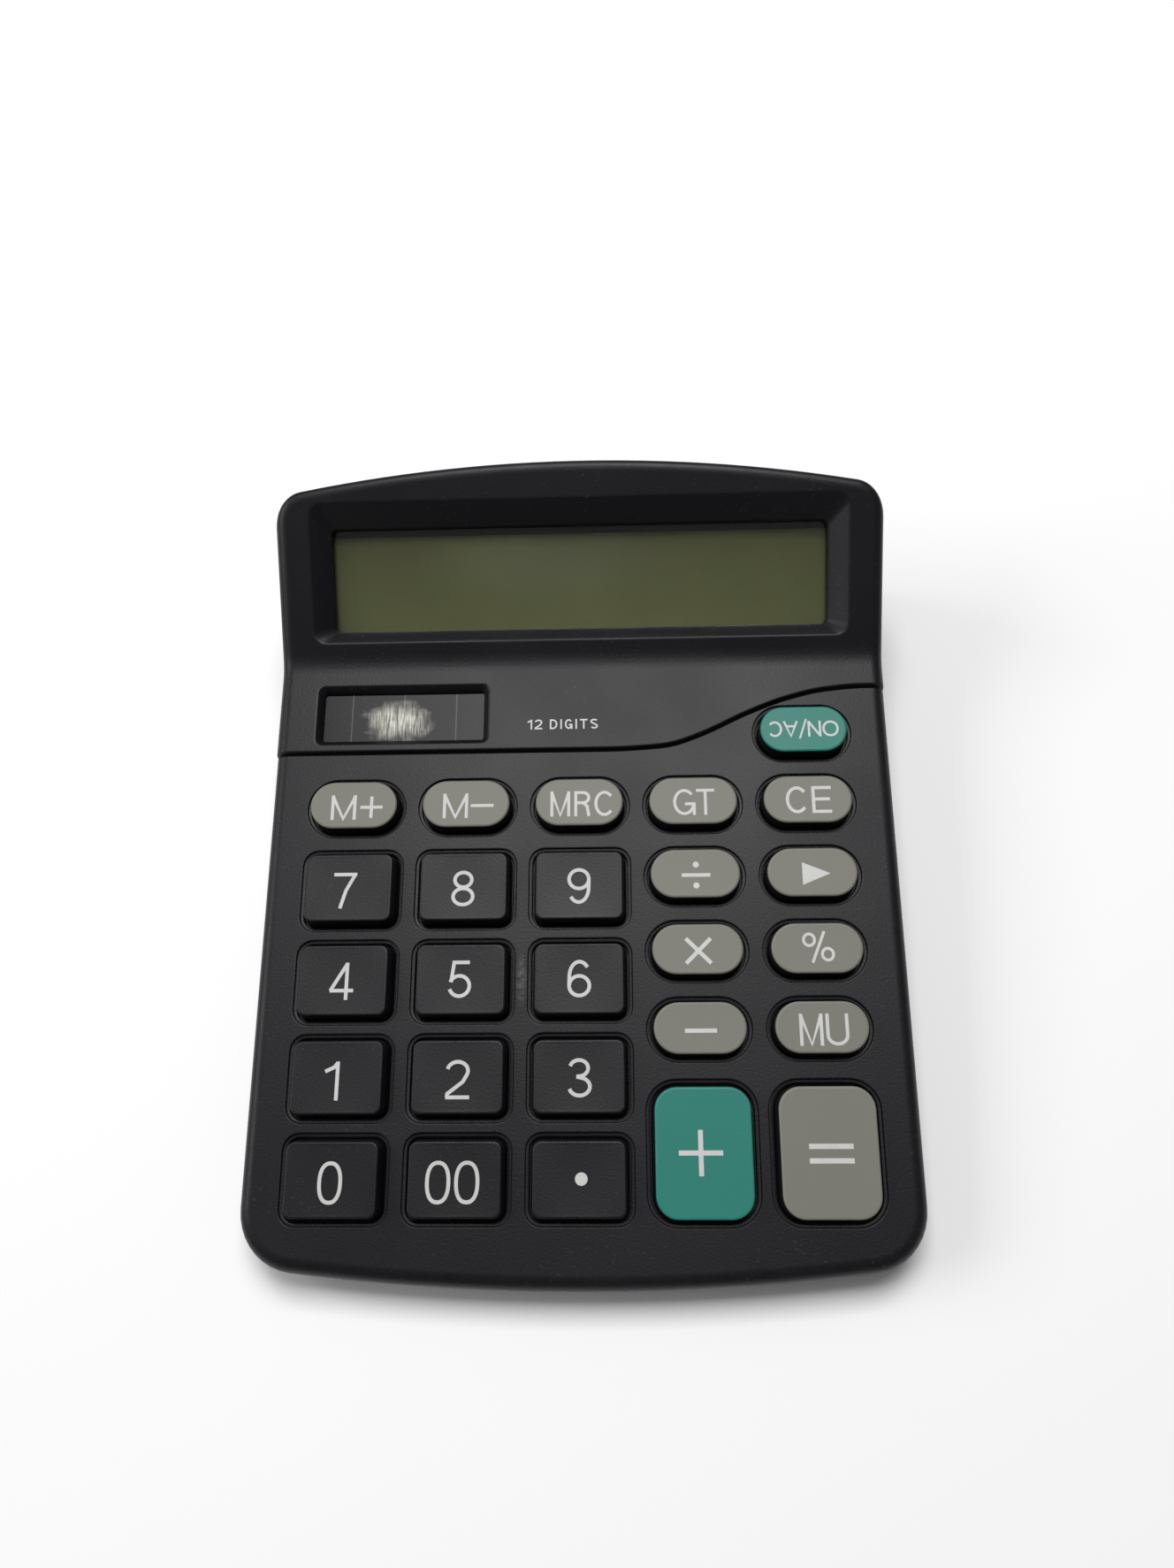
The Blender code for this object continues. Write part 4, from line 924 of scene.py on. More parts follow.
def strokes(mark, w, h, s):
    """Centre lines of a mark in a box w wide and h high, for a line s thick."""
    e = s / 2
    mid = w / 2
    if mark in "0O":
        return [bow(mid, h / 2, mid - e, h / 2 - e, 0, 360, 36, 2.35 if mark == "0" else 2.1)]
    if mark == "1":
        return [[(w - e, 0), (w - e, h)], [(w - e, h * 0.97), (w * 0.62, h * 0.85), (0, h * 0.745)]]
    if mark == "2":
        top = bow(mid, h * 0.72, mid - e, h * 0.28 - e, 168, -28, 16)
        return [top + [(w * 0.72, h * 0.44), (e * 1.3, h * 0.14), (e, e)], [(e * 0.3, e), (w, e)]]
    if mark == "3":
        upper = bow(mid * 0.96, h * 0.745, mid * 0.9 - e, h * 0.255 - e, 165, -78, 14)
        lower = bow(mid, h * 0.275, mid - e, h * 0.275 - e, 82, -165, 16)
        return [upper + [(mid * 0.75, h * 0.53)], [(mid * 0.75, h * 0.53)] + lower]
    if mark == "4":
        return [
            [(w * 0.7, 0), (w * 0.7, h)], [(0, h * 0.25), (w, h * 0.25)],
            [(w * 0.68, h - e), (e * 0.4, h * 0.25)],
        ]
    if mark == "5":
        bowl = bow(mid, h * 0.32, mid - e, h * 0.32 - e, 146, -162, 22)
        return [[(w * 0.92, h - e), (w * 0.26, h - e), (w * 0.15, h * 0.42)], [(w * 0.12, h * 0.43)] + bowl]
    if mark in "69":
        bowl = bow(mid, h * 0.31, mid - e, h * 0.31 - e, 0, 360, 28)
        back = bow(mid * 1.02, h * 0.56, mid - e, h * 0.44 - e, 38, 180, 14) + [(e, h * 0.33)]
        lines = [bowl, back]
        return lines if mark == "6" else [[(w - a, h - b) for a, b in line] for line in lines]
    if mark == "7":
        return [[(0, h - e), (w, h - e)], [(w - e, h - e), (w * 0.55, h * 0.5), (w * 0.33, 0)]]
    if mark == "8":
        return [
            bow(mid, h * 0.745, mid * 0.88 - e, h * 0.255 - e, 0, 360, 28),
            bow(mid, h * 0.275, mid - e, h * 0.275 - e, 0, 360, 28),
        ]
    if mark == "M":
        return [[(e, 0), (e, h)], [(w - e, 0), (w - e, h)], [(e, h - e), (mid, e * 0.7), (w - e, h - e)]]
    if mark == "N":
        return [[(e, 0), (e, h)], [(w - e, 0), (w - e, h)], [(e, h - e * 0.6), (w - e, e * 0.6)]]
    if mark == "U":
        return [[(e, h)] + bow(mid, h * 0.33, mid - e, h * 0.33 - e, 180, 360, 16) + [(w - e, h)]]
    if mark == "R":
        bend = bow(w - e - h * 0.22, h * 0.74, h * 0.22, h * 0.26 - e, 90, -90, 12)
        return [
            [(e, 0), (e, h)], [(0, h - e)] + bend + [(e, h * 0.48 + e)],
            [(w * 0.55, h * 0.48 + e), (w * 0.8, h * 0.4), (w - e, 0)],
        ]
    if mark in "CG":
        curve = bow(mid, h / 2, mid - e, h / 2 - e, 40, 320 if mark == "C" else 350, 26)
        return [curve] if mark == "C" else [
            curve, [(w - e, h * 0.43), (w - e, 0)], [(mid * 1.05, h * 0.43), (w, h * 0.43)]
        ]
    if mark == "T":
        return [[(0, h - e), (w, h - e)], [(mid, 0), (mid, h - e)]]
    if mark == "E":
        return [
            [(e, 0), (e, h)], [(0, h - e), (w, h - e)], [(0, h * 0.52), (w * 0.93, h * 0.52)], [(0, e), (w, e)]
        ]
    if mark == "I":
        return [[(mid, 0), (mid, h)]]
    if mark == "D":
        return [
            [(e, 0), (e, h)],
            [(0, h - e), (w * 0.4, h - e)] + bow(
                w * 0.4, h / 2, w * 0.6 - e, h / 2 - e, 90, -90, 14
            ) + [(0, e)],
        ]
    if mark == "S":
        upper = bow(mid, h * 0.74, mid - e, h * 0.26 - e, 30, 250, 12)
        lower = bow(mid, h * 0.265, mid - e, h * 0.265 - e, 75, -150, 12)
        return [upper + lower]
    if mark == "A":
        return [
            [(e * 0.7, 0), (mid, h - e * 0.5), (w - e * 0.7, 0)], [(w * 0.2, h * 0.33), (w * 0.8, h * 0.33)]
        ]
    if mark == "/":
        return [[(0, -0.12 * h), (w, h * 1.12)]]
    if mark == "+":
        return [[(0, h / 2), (w, h / 2)], [(mid, h / 2 - w / 2), (mid, h / 2 + w / 2)]]
    if mark == "-":
        return [[(0, h / 2), (w, h / 2)]]
    if mark == "=":
        return [[(0, h / 2 + 1.17), (w, h / 2 + 1.17)], [(0, h / 2 - 1.17), (w, h / 2 - 1.17)]]
    if mark == "x":
        return [[(0, h / 2 - w / 2), (w, h / 2 + w / 2)], [(0, h / 2 + w / 2), (w, h / 2 - w / 2)]]
    if mark == ":":
        return [
            bow(mid, h / 2 + side * 1.95, 0.28, 0.28, 0, 360, 14) for side in (-1, 1)
        ] + [[(0, h / 2), (w, h / 2)]]
    if mark == ".":
        return [bow(mid, h / 2, w / 4, w / 4, 0, 360, 24)]
    if mark == "%":
        rings = [bow(mid + side * 1.6, h / 2 - side * 1.3, 0.98, 1.05, 0, 360, 22) for side in (-1, 1)]
        return rings + [[(mid - 1.15, h / 2 - 2.8), (mid + 1.15, h / 2 + 2.8)]]
    return []


def line_quads(path, width):
    """Quads of constant width along a path, mitred at its bends."""
    path = np.array(path, float)
    closed = np.allclose(path[0], path[-1])
    run = np.diff(path, axis=0)
    keep = np.linalg.norm(run, axis=1) > 1e-6
    path = np.vstack([path[:1], path[1:][keep]])
    run = np.diff(path, axis=0)
    run /= np.linalg.norm(run, axis=1)[:, None]
    normal = np.c_[-run[:, 1], run[:, 0]]
    before = np.vstack([normal[-1:] if closed else normal[:1], normal])
    after = np.vstack([normal, normal[:1] if closed else normal[-1:]])
    mitre = before + after
    mitre /= np.maximum((mitre * before).sum(axis=1), 0.55)[:, None]
    left, right = path + mitre * width / 2, path - mitre * width / 2
    return [[right[i], right[i + 1], left[i + 1], left[i]] for i in range(len(path) - 1)]


def print_mesh(name, quads, place):
    """A thin printed layer from overlapping flat quads: place puts a flat point on the surface at a height."""
    plan, faces = [], []
    for quad in quads:
        area = sum(a[0] * b[1] - b[0] * a[1] for a, b in zip(quad, quad[1:] + quad[:1]))
        quad = quad if area > 0 else quad[::-1]
        faces.append(list(range(len(plan), len(plan) + len(quad))))
        plan += [Vector((float(p[0]), float(p[1]))) for p in quad]
    points, _, cells, _, _, sources = delaunay_2d_cdt(plan, [], faces, 1, 1e-5)
    cells = [cell for cell, source in zip(cells, sources) if source]
    shape = bmesh.new()
    upper = [shape.verts.new(Vector(place(p.x, p.y, 0.012)) * 0.001) for p in points]
    lower = [shape.verts.new(Vector(place(p.x, p.y, -0.03)) * 0.001) for p in points]
    rims = {}
    for cell in cells:
        shape.faces.new([upper[i] for i in cell])
        shape.faces.new([lower[i] for i in cell[::-1]])
        for a, b in zip(cell, cell[1:] + cell[:1]):
            if rims.pop((b, a), None) is None:
                rims[(a, b)] = True
    for a, b in rims:
        shape.faces.new((upper[b], upper[a], lower[a], lower[b]))
    bmesh.ops.recalc_face_normals(shape, faces=shape.faces)
    mesh = bpy.data.meshes.new(name)
    shape.to_mesh(mesh)
    shape.free()
    return mesh


def mark_quads(marks, height, line, gap, middle=(0.0, 0.0)):
    """Quads for a row of marks, each given with its width, centred on the middle."""
    total = sum(width for _, width in marks) + gap * (len(marks) - 1)
    x = middle[0] - total / 2
    quads = []
    for mark, width in marks:
        thick = {"/": line * 0.85, "%": line * 0.8, ":": line}.get(mark, line)
        for path in strokes(mark, width, height, line):
            pen = {".": width / 2, ":": 0.56 if len(path) > 4 else line}.get(mark, thick)
            for quad in line_quads(path, pen):
                quads.append([(x + a, middle[1] - height / 2 + b) for a, b in quad])
        x += width + gap
    return quads


# For each key: its marks and their widths, their height, the thickness of the line, the gap, and their middle.
key_marks = {
    "key_memory_add": ((("M", 4.75), ("+", 4.2)), 4.8, 0.6, 0.75, (0.65, -0.5)),
    "key_memory_subtract": ((("M", 4.7), ("-", 4.3)), 4.8, 0.58, 0.5, (0.45, -0.45)),
    "key_memory_recall": ((("M", 3.7), ("R", 3.0), ("C", 3.75)), 4.9, 0.56, 0.75, (0.6, -0.35)),
    "key_grand_total": ((("G", 4.15), ("T", 3.35)), 5.05, 0.56, 0.15, (0.1, -0.3)),
    "key_clear_entry": ((("C", 4.15), ("E", 3.6)), 5.2, 0.6, 0.65, (0.1, -0.15)),
    "key_divide": (((":", 5.2),), 4.0, 0.66, 0, (0.1, -0.35)),
    "key_multiply": ((("x", 4.45),), 4.0, 0.72, 0, (0.1, -0.35)),
    "key_percent": ((("%", 5.7),), 5.6, 0.64, 0, (0.2, 0.15)),
    "key_minus": ((("-", 5.6),), 4.0, 0.72, 0, (0.1, -0.5)),
    "key_markup": ((("M", 4.1), ("U", 3.95)), 5.5, 0.58, 0.5, (0.3, -0.45)),
    "key_plus": ((("+", 7.5),), 4.0, 0.82, 0, (-0.55, -0.1)),
    "key_equals": ((("=", 7.5),), 4.0, 0.86, 0, (0.25, -0.25)),
    "key_on_clear": (
        (("O", 3.05), ("N", 2.5), ("/", 1.35), ("A", 2.75), ("C", 2.75)), 3.15, 0.42, 0.24, (0.1, 0.05)
    ),
    "key_point": (((".", 2.15),), 4.0, 0.84, 0, (0.35, 0.05)),
}
digit_places = {
    "0": (-0.1, -0.5), "1": (-0.85, -0.6), "2": (0.0, -0.45), "3": (0.05, -0.25), "4": (-0.15, -0.2),
    "5": (-0.2, 0.0),
    "6": (0.0, -0.05), "7": (-0.65, -0.55), "8": (-0.05, -0.4), "9": (-0.05, -0.15),
}
for digit, middle in digit_places.items():
    width, height = (2.5, 6.6) if digit == "1" else (4.25, 7.0 if digit == "0" else 6.65)
    key_marks["key_" + digit] = (((digit, width),), height, 0.64, 0, middle)
key_marks["key_00"] = ((("0", 4.3), ("0", 4.3)), 7.0, 0.64, 0.65, (-0.35, -0.45))


def make_mark(name, shape, u, v):
    marks, height, line, gap, middle = key_marks[name]
    quads = mark_quads(marks, height, line, gap, middle)
    turn = -1 if name == "key_on_clear" else 1

    def place(a, b, lift):
        return on_deck(u + a * turn, v + b * turn, cap_surface(shape, a, b) + lift)

    return print_mesh(name + "_print", quads, place)


# The backspace key's arrow is a filled triangle.
def make_arrow(shape, u, v):
    corners = [[(-1.85, -2.4), (3.25, -0.3), (-1.85, 1.8)]]
    return print_mesh(
        "key_backspace_print", corners, lambda a, b,
        lift: on_deck(u + a, v + b, cap_surface(shape, a, b) + lift),
    )


# Number keys are the case's black with a slightly smoother top. The others are warm grey, and two are teal.
black_key = make_finish(
    "black_key", (0.0062, 0.0065, 0.0082), 0.42, size=0.00034, depth=2.2e-5, variation=0.22, wear=0.4,
    dust=0.04, Specular_IOR_Level=0.24,
)
grey_key = make_finish(
    "grey_key", (0.176, 0.172, 0.145), 0.48, (0.24, 0.235, 0.2), size=0.00034, depth=1.2e-5, variation=0.07,
    wear=0.3, dust=0.02, Specular_IOR_Level=0.3,
)
teal_key = make_finish(
    "teal_key", (0.0125, 0.178, 0.142), 0.45, (0.05, 0.26, 0.21), size=0.00034, depth=1.2e-5, variation=0.07,
    wear=0.3, dust=0.02, Specular_IOR_Level=0.3,
)
pale_ink = make_finish(
    "pale_ink", (0.56, 0.56, 0.55), 0.55, (0.4, 0.4, 0.4), size=0.0002, depth=2e-6, variation=0.12, wear=0.3, dust=0.0
)


def add_painted_side_shade(material, start, end):
    """Painted shade: the cap's colour turns near black just under its upper edge, for the shade in the gap round the
    key.
    """
    tree = material.node_tree
    surface, lit = tree.nodes["surface"], tree.nodes["Principled BSDF"]
    place = shader_node(tree, "TexCoord").outputs["Object"]
    normal = (0.0, -math.sin(DECK_SLOPE), math.cos(DECK_SLOPE))
    height = shader_node(tree, "VectorMath", {0: place, 1: normal}, operation="DOT_PRODUCT").outputs["Value"]
    level = Vector(on_deck(0, 0, 0)).dot(normal)
    share = shader_node(
        tree, "MapRange", {0: height, 1: (level + start) * 0.001, 2: (level + end) * 0.001}
    ).outputs[0]
    tree.links.new(
        shader_mix(tree, share, (0.0062, 0.0065, 0.0082, 1), surface.outputs["Colour"]),
        lit.inputs["Base Color"],
    )


# Painted shade on the sides of the grey and teal caps.
add_painted_side_shade(grey_key, 2.22, 2.4)
add_painted_side_shade(teal_key, 2.22, 2.4)
for name, shape, u, v in key_table:
    finish, slot = (black_key, "number_keys") if shape == NUMBER_TOP else (grey_key, "grey_keys")
    if name in ("key_on_clear", "key_plus"):
        finish, slot = teal_key, "teal_keys"
    show(name + "_cap", make_cap(name + "_cap", shape, u, v), name, finish, slot, name)
    mesh = make_arrow(shape, u, v) if name == "key_backspace" else make_mark(name, shape, u, v)
    show(name + "_print", mesh, name, pale_ink, None)

# The band beside the solar cell carries only a plain word for what the calculator shows, in the same ink.
quads = mark_quads([(c, w) for c, w in zip("12", (0.9, 1.5))], 2.0, 0.3, 0.45, (-8.6, 16.2))
quads += mark_quads([(c, 0.35 if c == "I" else 1.45) for c in "DIGITS"], 2.0, 0.3, 0.55, (-1.1, 16.2))
band_print = print_mesh("band_print", quads, lambda u, v, lift: on_deck(u, v, BAND_RISE + lift))
show("band_print", band_print, "case", pale_ink, None)

# ---------------------------------------------------------------------------------------------------------
# Key mat. One sheet of silicone rubber with a hollow dome under each key. A dome collapses as its key goes
# down and pushes it back up. It lies loose between the board and the deck, held by their screws.

MAT_TOP = -4.7
shell = Shell()
shell.add_block(lambda x, y, w: on_deck(x, y - 26.5, w), 103.0, 92.0, -5.3, MAT_TOP, 1.0, 0.08)
silicone = make_finish(
    "silicone", (0.4, 0.4, 0.38), 0.62, (0.5, 0.5, 0.48), size=0.0007, depth=8e-6, variation=0.08, wear=0.1,
    dust=0.3, Subsurface_Weight=0.15,
)
show("key_mat_sheet", shell.mesh("key_mat_sheet"), "case", silicone, "silicone", "key_mat")
DOME_SECTION = (
    (1.6, 1.12), (1.75, 0.95), (2.9, -0.02), (3.45, -0.02), (3.42, 0.12), (3.2, 0.3), (2.45, 1.28),
    (2.25, 1.44), (2.0, 1.48),
)
for name, shape, u, v in key_table:
    shell = Shell()
    rings = [circle(r, 28, (u, v)) for r, _ in DOME_SECTION]
    shell.add_loft([[on_deck(x, y, MAT_TOP + w) for x, y in ring] for ring, (_, w) in zip(rings, DOME_SECTION)])
    dome = show(name + "_dome", shell.mesh(name + "_dome"), "case", silicone, "silicone")
    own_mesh(dome)

# ---------------------------------------------------------------------------------------------------------
# Circuit board. Brown phenolic paper board with copper tracks on its underside and carbon pads on its top,
# where the domes press. Four screws hold it to posts under the deck. The chip is bonded under black resin.


def with_cut(mesh, cutter, operation="DIFFERENCE"):
    """The mesh with another added to it, cut from it or kept in common with it."""
    first, second = (bpy.data.objects.new("blank", m) for m in (mesh, cutter))
    for blank in (first, second):
        bpy.context.scene.collection.objects.link(blank)
    change = first.modifiers.new("cut", "BOOLEAN")
    change.operation, change.object, change.solver = operation, second, "EXACT"
    made = bpy.data.meshes.new_from_object(first.evaluated_get(bpy.context.evaluated_depsgraph_get()))
    for blank in (first, second):
        bpy.data.objects.remove(blank)
    return made


shell = Shell()
shell.add_block(lambda x, y, w: on_deck(x, y - 24, w), 112.2, 98.0, -6.6, -5.6, 0.8, 0.06)
board_brown = make_finish(
    "board_brown", (0.26, 0.125, 0.045), 0.5, (0.35, 0.2, 0.09), size=0.0011, depth=6e-6, variation=0.25,
    wear=0.3, dust=0.2,
)
board_panel = shell.mesh("main_board_panel")
for u, v in BOARD_SCREWS:
    cutter = Shell()
    cutter.add_loft([[on_deck(x, y, w) for x, y in circle(1.05, 24, (u, v))] for w in (-7.5, -4.5)])
    board_panel = with_cut(board_panel, cutter.mesh("hole"))
show("main_board_panel", board_panel, "case", board_brown, "board", "main_board")

copper = make_finish(
    "copper", (0.62, 0.3, 0.16), 0.32, (0.75, 0.45, 0.3), size=0.0009, depth=2e-6, variation=0.3, wear=0.2,
    dust=0.1, Metallic=1.0,
)
carbon = make_finish(
    "carbon", (0.012, 0.012, 0.012), 0.7, size=0.0003, depth=4e-6, variation=0.3, wear=0.2, dust=0.1
)
track_quads = []
for name, shape, u, v in key_table:
    for side in (-1, 1):
        start = np.array((u + side * 2.4, v))
        path = [start, start + (0, -3.4 - side), start + (side * 2.6, -6.0 - side)]
        if side > 0 and v < -10:
            path += [(path[-1][0], min(-4.0, v + 9.0))]
        track_quads += line_quads(path, 0.5)
for step in range(13):
    u = 8 + (step - 6) * 0.85
    path = [(u, 9.4), (u, 6.6), (8 + (step - 6) * 3.0, 3.2), (8 + (step - 6) * 3.0, -6.0 - (step % 4) * 16.9)]
    track_quads += line_quads(path, 0.4)
for step in range(15):
    u = (step - 7) * 3.6
    track_quads += line_quads(
        [(u, 22.0), (u, 19.2), (8 + (step - 7) * 0.75, 16.2), (8 + (step - 7) * 0.75, 14.6)], 0.4
    )
tracks = print_mesh("board_tracks", track_quads, lambda u, v, lift: on_deck(u, v, -6.6 - lift))
show("board_tracks", tracks, "case", copper, None)
pad_quads = []
for name, shape, u, v in key_table:
    for row in range(5):
        reach = math.sqrt(4.8 - (0.9 * (row - 2)) ** 2)
        pad_quads += line_quads([(u - reach, v + 0.9 * (row - 2)), (u + reach, v + 0.9 * (row - 2))], 0.45)
pads = print_mesh("board_pads", pad_quads, lambda u, v, lift: on_deck(u, v, -5.6 + lift))
show("board_pads", pads, "case", carbon, None)

resin = make_finish(
    "resin", (0.01, 0.01, 0.01), 0.22, size=0.002, depth=3e-5, variation=0.2, wear=0.2, dust=0.3
)
shell = Shell()
blob = [
    (6.0 * math.cos(math.radians(a)) ** 0.45 if a < 84 else 1.0, -6.95 - 1.5 * math.sin(math.radians(a)))
    for a in range(0, 90, 7)
]
blob = [(5.7, -6.9)] + blob
shell.add_loft([[on_deck(x, y, w) for x, y in circle(min(r, 6.0), 40, (8, 12))] for r, w in blob])
show("chip_blob_cover", shell.mesh("chip_blob_cover"), "case", resin, "resin", "chip_blob")

# ---------------------------------------------------------------------------------------------------------
# Wires. Thin stranded leads in red and black PVC: two from the battery's contacts to the underside of the
# board, and two short ones from the solar cell to its top, each soldered at both ends.

def tube_rings(path, radius, sides=12):
    """Rings round a path, each turned as little as possible from the one before."""
    path = [Vector(tuple(p)) for p in path]
    along = [(b - a).normalized() for a, b in zip(path, path[1:])]
    along.append(along[-1])
    side = along[0].orthogonal().normalized()
    rings = []
    for point, run in zip(path, along):
        side = (side - run * side.dot(run)).normalized()
        up = run.cross(side)
        turns = [2 * math.pi * i / sides for i in range(sides)]
        rings.append([tuple(point + (side * math.cos(a) + up * math.sin(a)) * radius) for a in turns])
    return rings


red_wire = make_finish(
    "red_wire", (0.42, 0.018, 0.015), 0.42, size=0.0007, depth=5e-6, variation=0.15, wear=0.2, dust=0.15
)
black_wire = make_finish(
    "black_wire", (0.014, 0.014, 0.014), 0.42, size=0.0007, depth=5e-6, variation=0.2, wear=0.2, dust=0.15
)
wire_routes = {}
for side, end in ((1, "positive"), (-1, "negative")):
    wire_routes["battery_" + end] = [
        (side * 29.4, 55.45, 15.4),
        (side * 31.5, 53.7, 15.2),
        (side * 33.2, 46.2, 13.0),
        (side * 32.0, 39.2, 9.5),
        on_deck(side * 29, 19, -8.6),
        on_deck(side * 26, 16, -7.4),
    ]
for u, end in ((-48, "positive"), (-22, "negative")):
    wire_routes["solar_" + end] = [
        on_deck(u, 20, -2.9), on_deck(u + 0.6, 21.6, -3.85), on_deck(u + 1.0, 23.0, -4.8)
    ]
for name, route in wire_routes.items():
    shell = Shell()
    shell.add_loft(tube_rings(smooth_path(route), 0.48))
    colour = "red" if name.endswith("positive") else "black"
    finish = red_wire if colour == "red" else black_wire
    show(f"wire_{name}_lead", shell.mesh(f"wire_{name}_lead"), "case", finish, "wire_" + colour, "wire_" + name)

# ---------------------------------------------------------------------------------------------------------
# Lower case. The other half of the moulding: a floor with rounded bottom edges, a lip that stands inside the
# upper case, a walled bay for the battery, bosses with sunk holes for the screws, and seats for the feet.

FLOOR_BOTTOM, FLOOR_TOP = 1.2, 3.0


def body_rings(wall_top):
    """The body's outside from its floor up to a plane parallel to the deck."""
    stops = list(np.arange(-58, 63, 4.0))
    rings = [[(x, y, FLOOR_BOTTOM) for x, y in body_ring(EDGE_ROUND + 0.4, stops)]]
    for turn in range(7):
        a = math.radians(15 * turn)
        inset, rise = EDGE_ROUND * (1 - math.sin(a)), EDGE_ROUND * (1 - math.cos(a))
        rings.append([(x, y, FLOOR_BOTTOM + rise) for x, y in body_ring(inset, stops)])
    for inset, w in ((0.0, wall_top - 0.3), (0.06, wall_top - 0.12), (0.22, wall_top)):
        rings.append(
            [
                (x, y, max(deck_height(y, w), FLOOR_BOTTOM + EDGE_ROUND + 0.1))
                for x, y in body_ring(inset, stops)
            ]
        )
    return rings, stops


def box_shell(shell, low, high):
    x, y = (low[0] + high[0]) / 2, (low[1] + high[1]) / 2
    shell.add_block(
        lambda a, b, z: (x + a, y + b, z), high[0] - low[0], high[1] - low[1], low[2], high[2], 0.02, 0.01, 1
    )


def make_lower_case():
    rings, stops = body_rings(PARTING - 0.3)
    for inset, w in ((1.3, PARTING - 0.3), (1.3, PARTING + 1.25), (1.45, PARTING + 1.4), (2.0, PARTING + 1.4)):
        rings.append([(x, y, deck_height(y, w)) for x, y in body_ring(inset, stops)])
    rings.append([(x, y, FLOOR_TOP) for x, y in body_ring(CASE_WALL, stops)])
    shell = Shell()
    shell.add_loft(rings)
    lower = shell.mesh("lower_case_shell")
    added, cut = Shell(), Shell()
    box_shell(added, (-32.6, 48.8, 2.5), (32.6, 67.6, 12.0))
    for x, y in CASE_SCREWS:
        boss = ((3.3, 2.0), (3.3, 5.05), (3.15, 5.2))
        added.add_loft([[(x + a, y + b, z) for a, b in circle(r, 32)] for r, z in boss])
    lower = with_cut(lower, added.mesh("added"), "UNION")
    box_shell(cut, (-29.2, 50.4, -1.0), (29.2, 66.0, 30.0))
    lower = with_cut(lower, cut.mesh("bay"))
    cut = Shell()
    box_shell(cut, (-30.0, 50.3, -1.0), (30.0, 90.0, 6.3))
    lower = with_cut(lower, cut.mesh("opening"))
    cut = Shell()
    box_shell(cut, (-31.2, 50.3, 1.8), (31.2, 90.0, 3.3))
    for x, y in CASE_SCREWS:
        hole = ((2.65, 1.0), (2.65, 1.15), (2.5, 1.35), (2.5, 3.4), (1.25, 3.4), (1.25, 8.0))
        cut.add_loft([[(x + a, y + b, z) for a, b in circle(r, 32)] for r, z in hole])
    for x, y in FEET:
        seat = ((5.45, 1.0), (5.45, 1.15), (5.3, 1.3), (5.3, 1.9))
        cut.add_loft([[(x + a, y + b, z) for a, b in circle(r, 48)] for r, z in seat])
    lower = with_cut(lower, cut.mesh("holes"))
    lower.name = "lower_case_shell"
    return lower


FEET = ((-46, -54), (46, -54), (-47, 52), (47, 52))
show("lower_case_shell", make_lower_case(), "case", black_case, "case", "lower_case", sharp=30.0)

# ---------------------------------------------------------------------------------------------------------
# Battery. One AA cell in a printed plastic jacket. It lies across the rear of the case between a flat contact
# and a coil spring, both nickel-plated steel, that stand in slots at the ends of the bay.

def turned_x(shell, section, centre, steps=48):
    """A body turned about a line along X, from its radius at each place along that line."""
    rings = [[(x, centre[0] + a, centre[1] + b) for a, b in circle(r, steps)] for x, r in section]
    shell.add_loft(rings)


CELL_Y, CELL_Z = 58.2, 10.7
shell = Shell()
CELL_SECTION = (
    (-22.5, 4.6), (-22.4, 5.4), (-22.2, 5.5), (-22.15, 6.5), (-22.3, 6.8), (-22.1, 7.05), (-21.7, 7.1),
    (-8.0, 7.1), (8.0, 7.1),
    (25.6, 7.1), (26.2, 7.02), (26.5, 6.8), (26.4, 6.3), (26.1, 6.1), (26.15, 4.6), (26.7, 4.2), (26.7, 2.75),
    (27.0, 2.65),
    (27.85, 2.6), (28.0, 2.4),
)
turned_x(shell, CELL_SECTION, (CELL_Y, CELL_Z))
jacket = make_finish(
    "jacket", (0.035, 0.1, 0.26), 0.28, (0.4, 0.42, 0.45), size=0.0015, depth=2e-6, variation=0.1, wear=0.3,
    dust=0.15, Coat_Weight=0.4, Coat_Roughness=0.1,
)


def add_cell_print(material):
    """The jacket is blue with a pale collar near its positive end, and both ends of the can are bare metal."""
    tree = material.node_tree
    surface, lit = tree.nodes["surface"], tree.nodes["Principled BSDF"]
    place = shader_node(tree, "TexCoord").outputs["Object"]
    across = shader_node(tree, "SeparateXYZ", {0: place}).outputs["X"]
    collar = shader_math(tree, "GREATER_THAN", across, 0.0165)
    bare = shader_math(
        tree, "GREATER_THAN", shader_math(tree, "ABSOLUTE", shader_math(tree, "SUBTRACT", across, 0.002)),
        0.02442,
    )
    colour = shader_mix(tree, collar, surface.outputs["Colour"], (0.5, 0.46, 0.3, 1))
    tree.links.new(shader_mix(tree, bare, colour, (0.6, 0.6, 0.58, 1)), lit.inputs["Base Color"])
    tree.links.new(bare, lit.inputs["Metallic"])


add_cell_print(jacket)
show("aa_cell_can", shell.mesh("aa_cell_can"), "case", jacket, "cell", "aa_cell")

steel = make_finish(
    "steel", (0.6, 0.6, 0.58), 0.28, (0.75, 0.75, 0.73), size=0.0008, depth=2e-6, variation=0.15, wear=0.3,
    dust=0.1, Metallic=1.0,
)


def add_plate(shell, side):
    def place(y, z, x):
        return (side * x, CELL_Y + y, z)

    shell.add_block(lambda a, b, n: place(a, 9.1 + b, n), 10.0, 9.8, 28.42, 28.78, 0.8, 0.06)
    shell.add_block(lambda a, b, n: place(-2.75 + a, 14.8 + b, n), 2.5, 2.4, 28.44, 28.76, 0.3, 0.05)


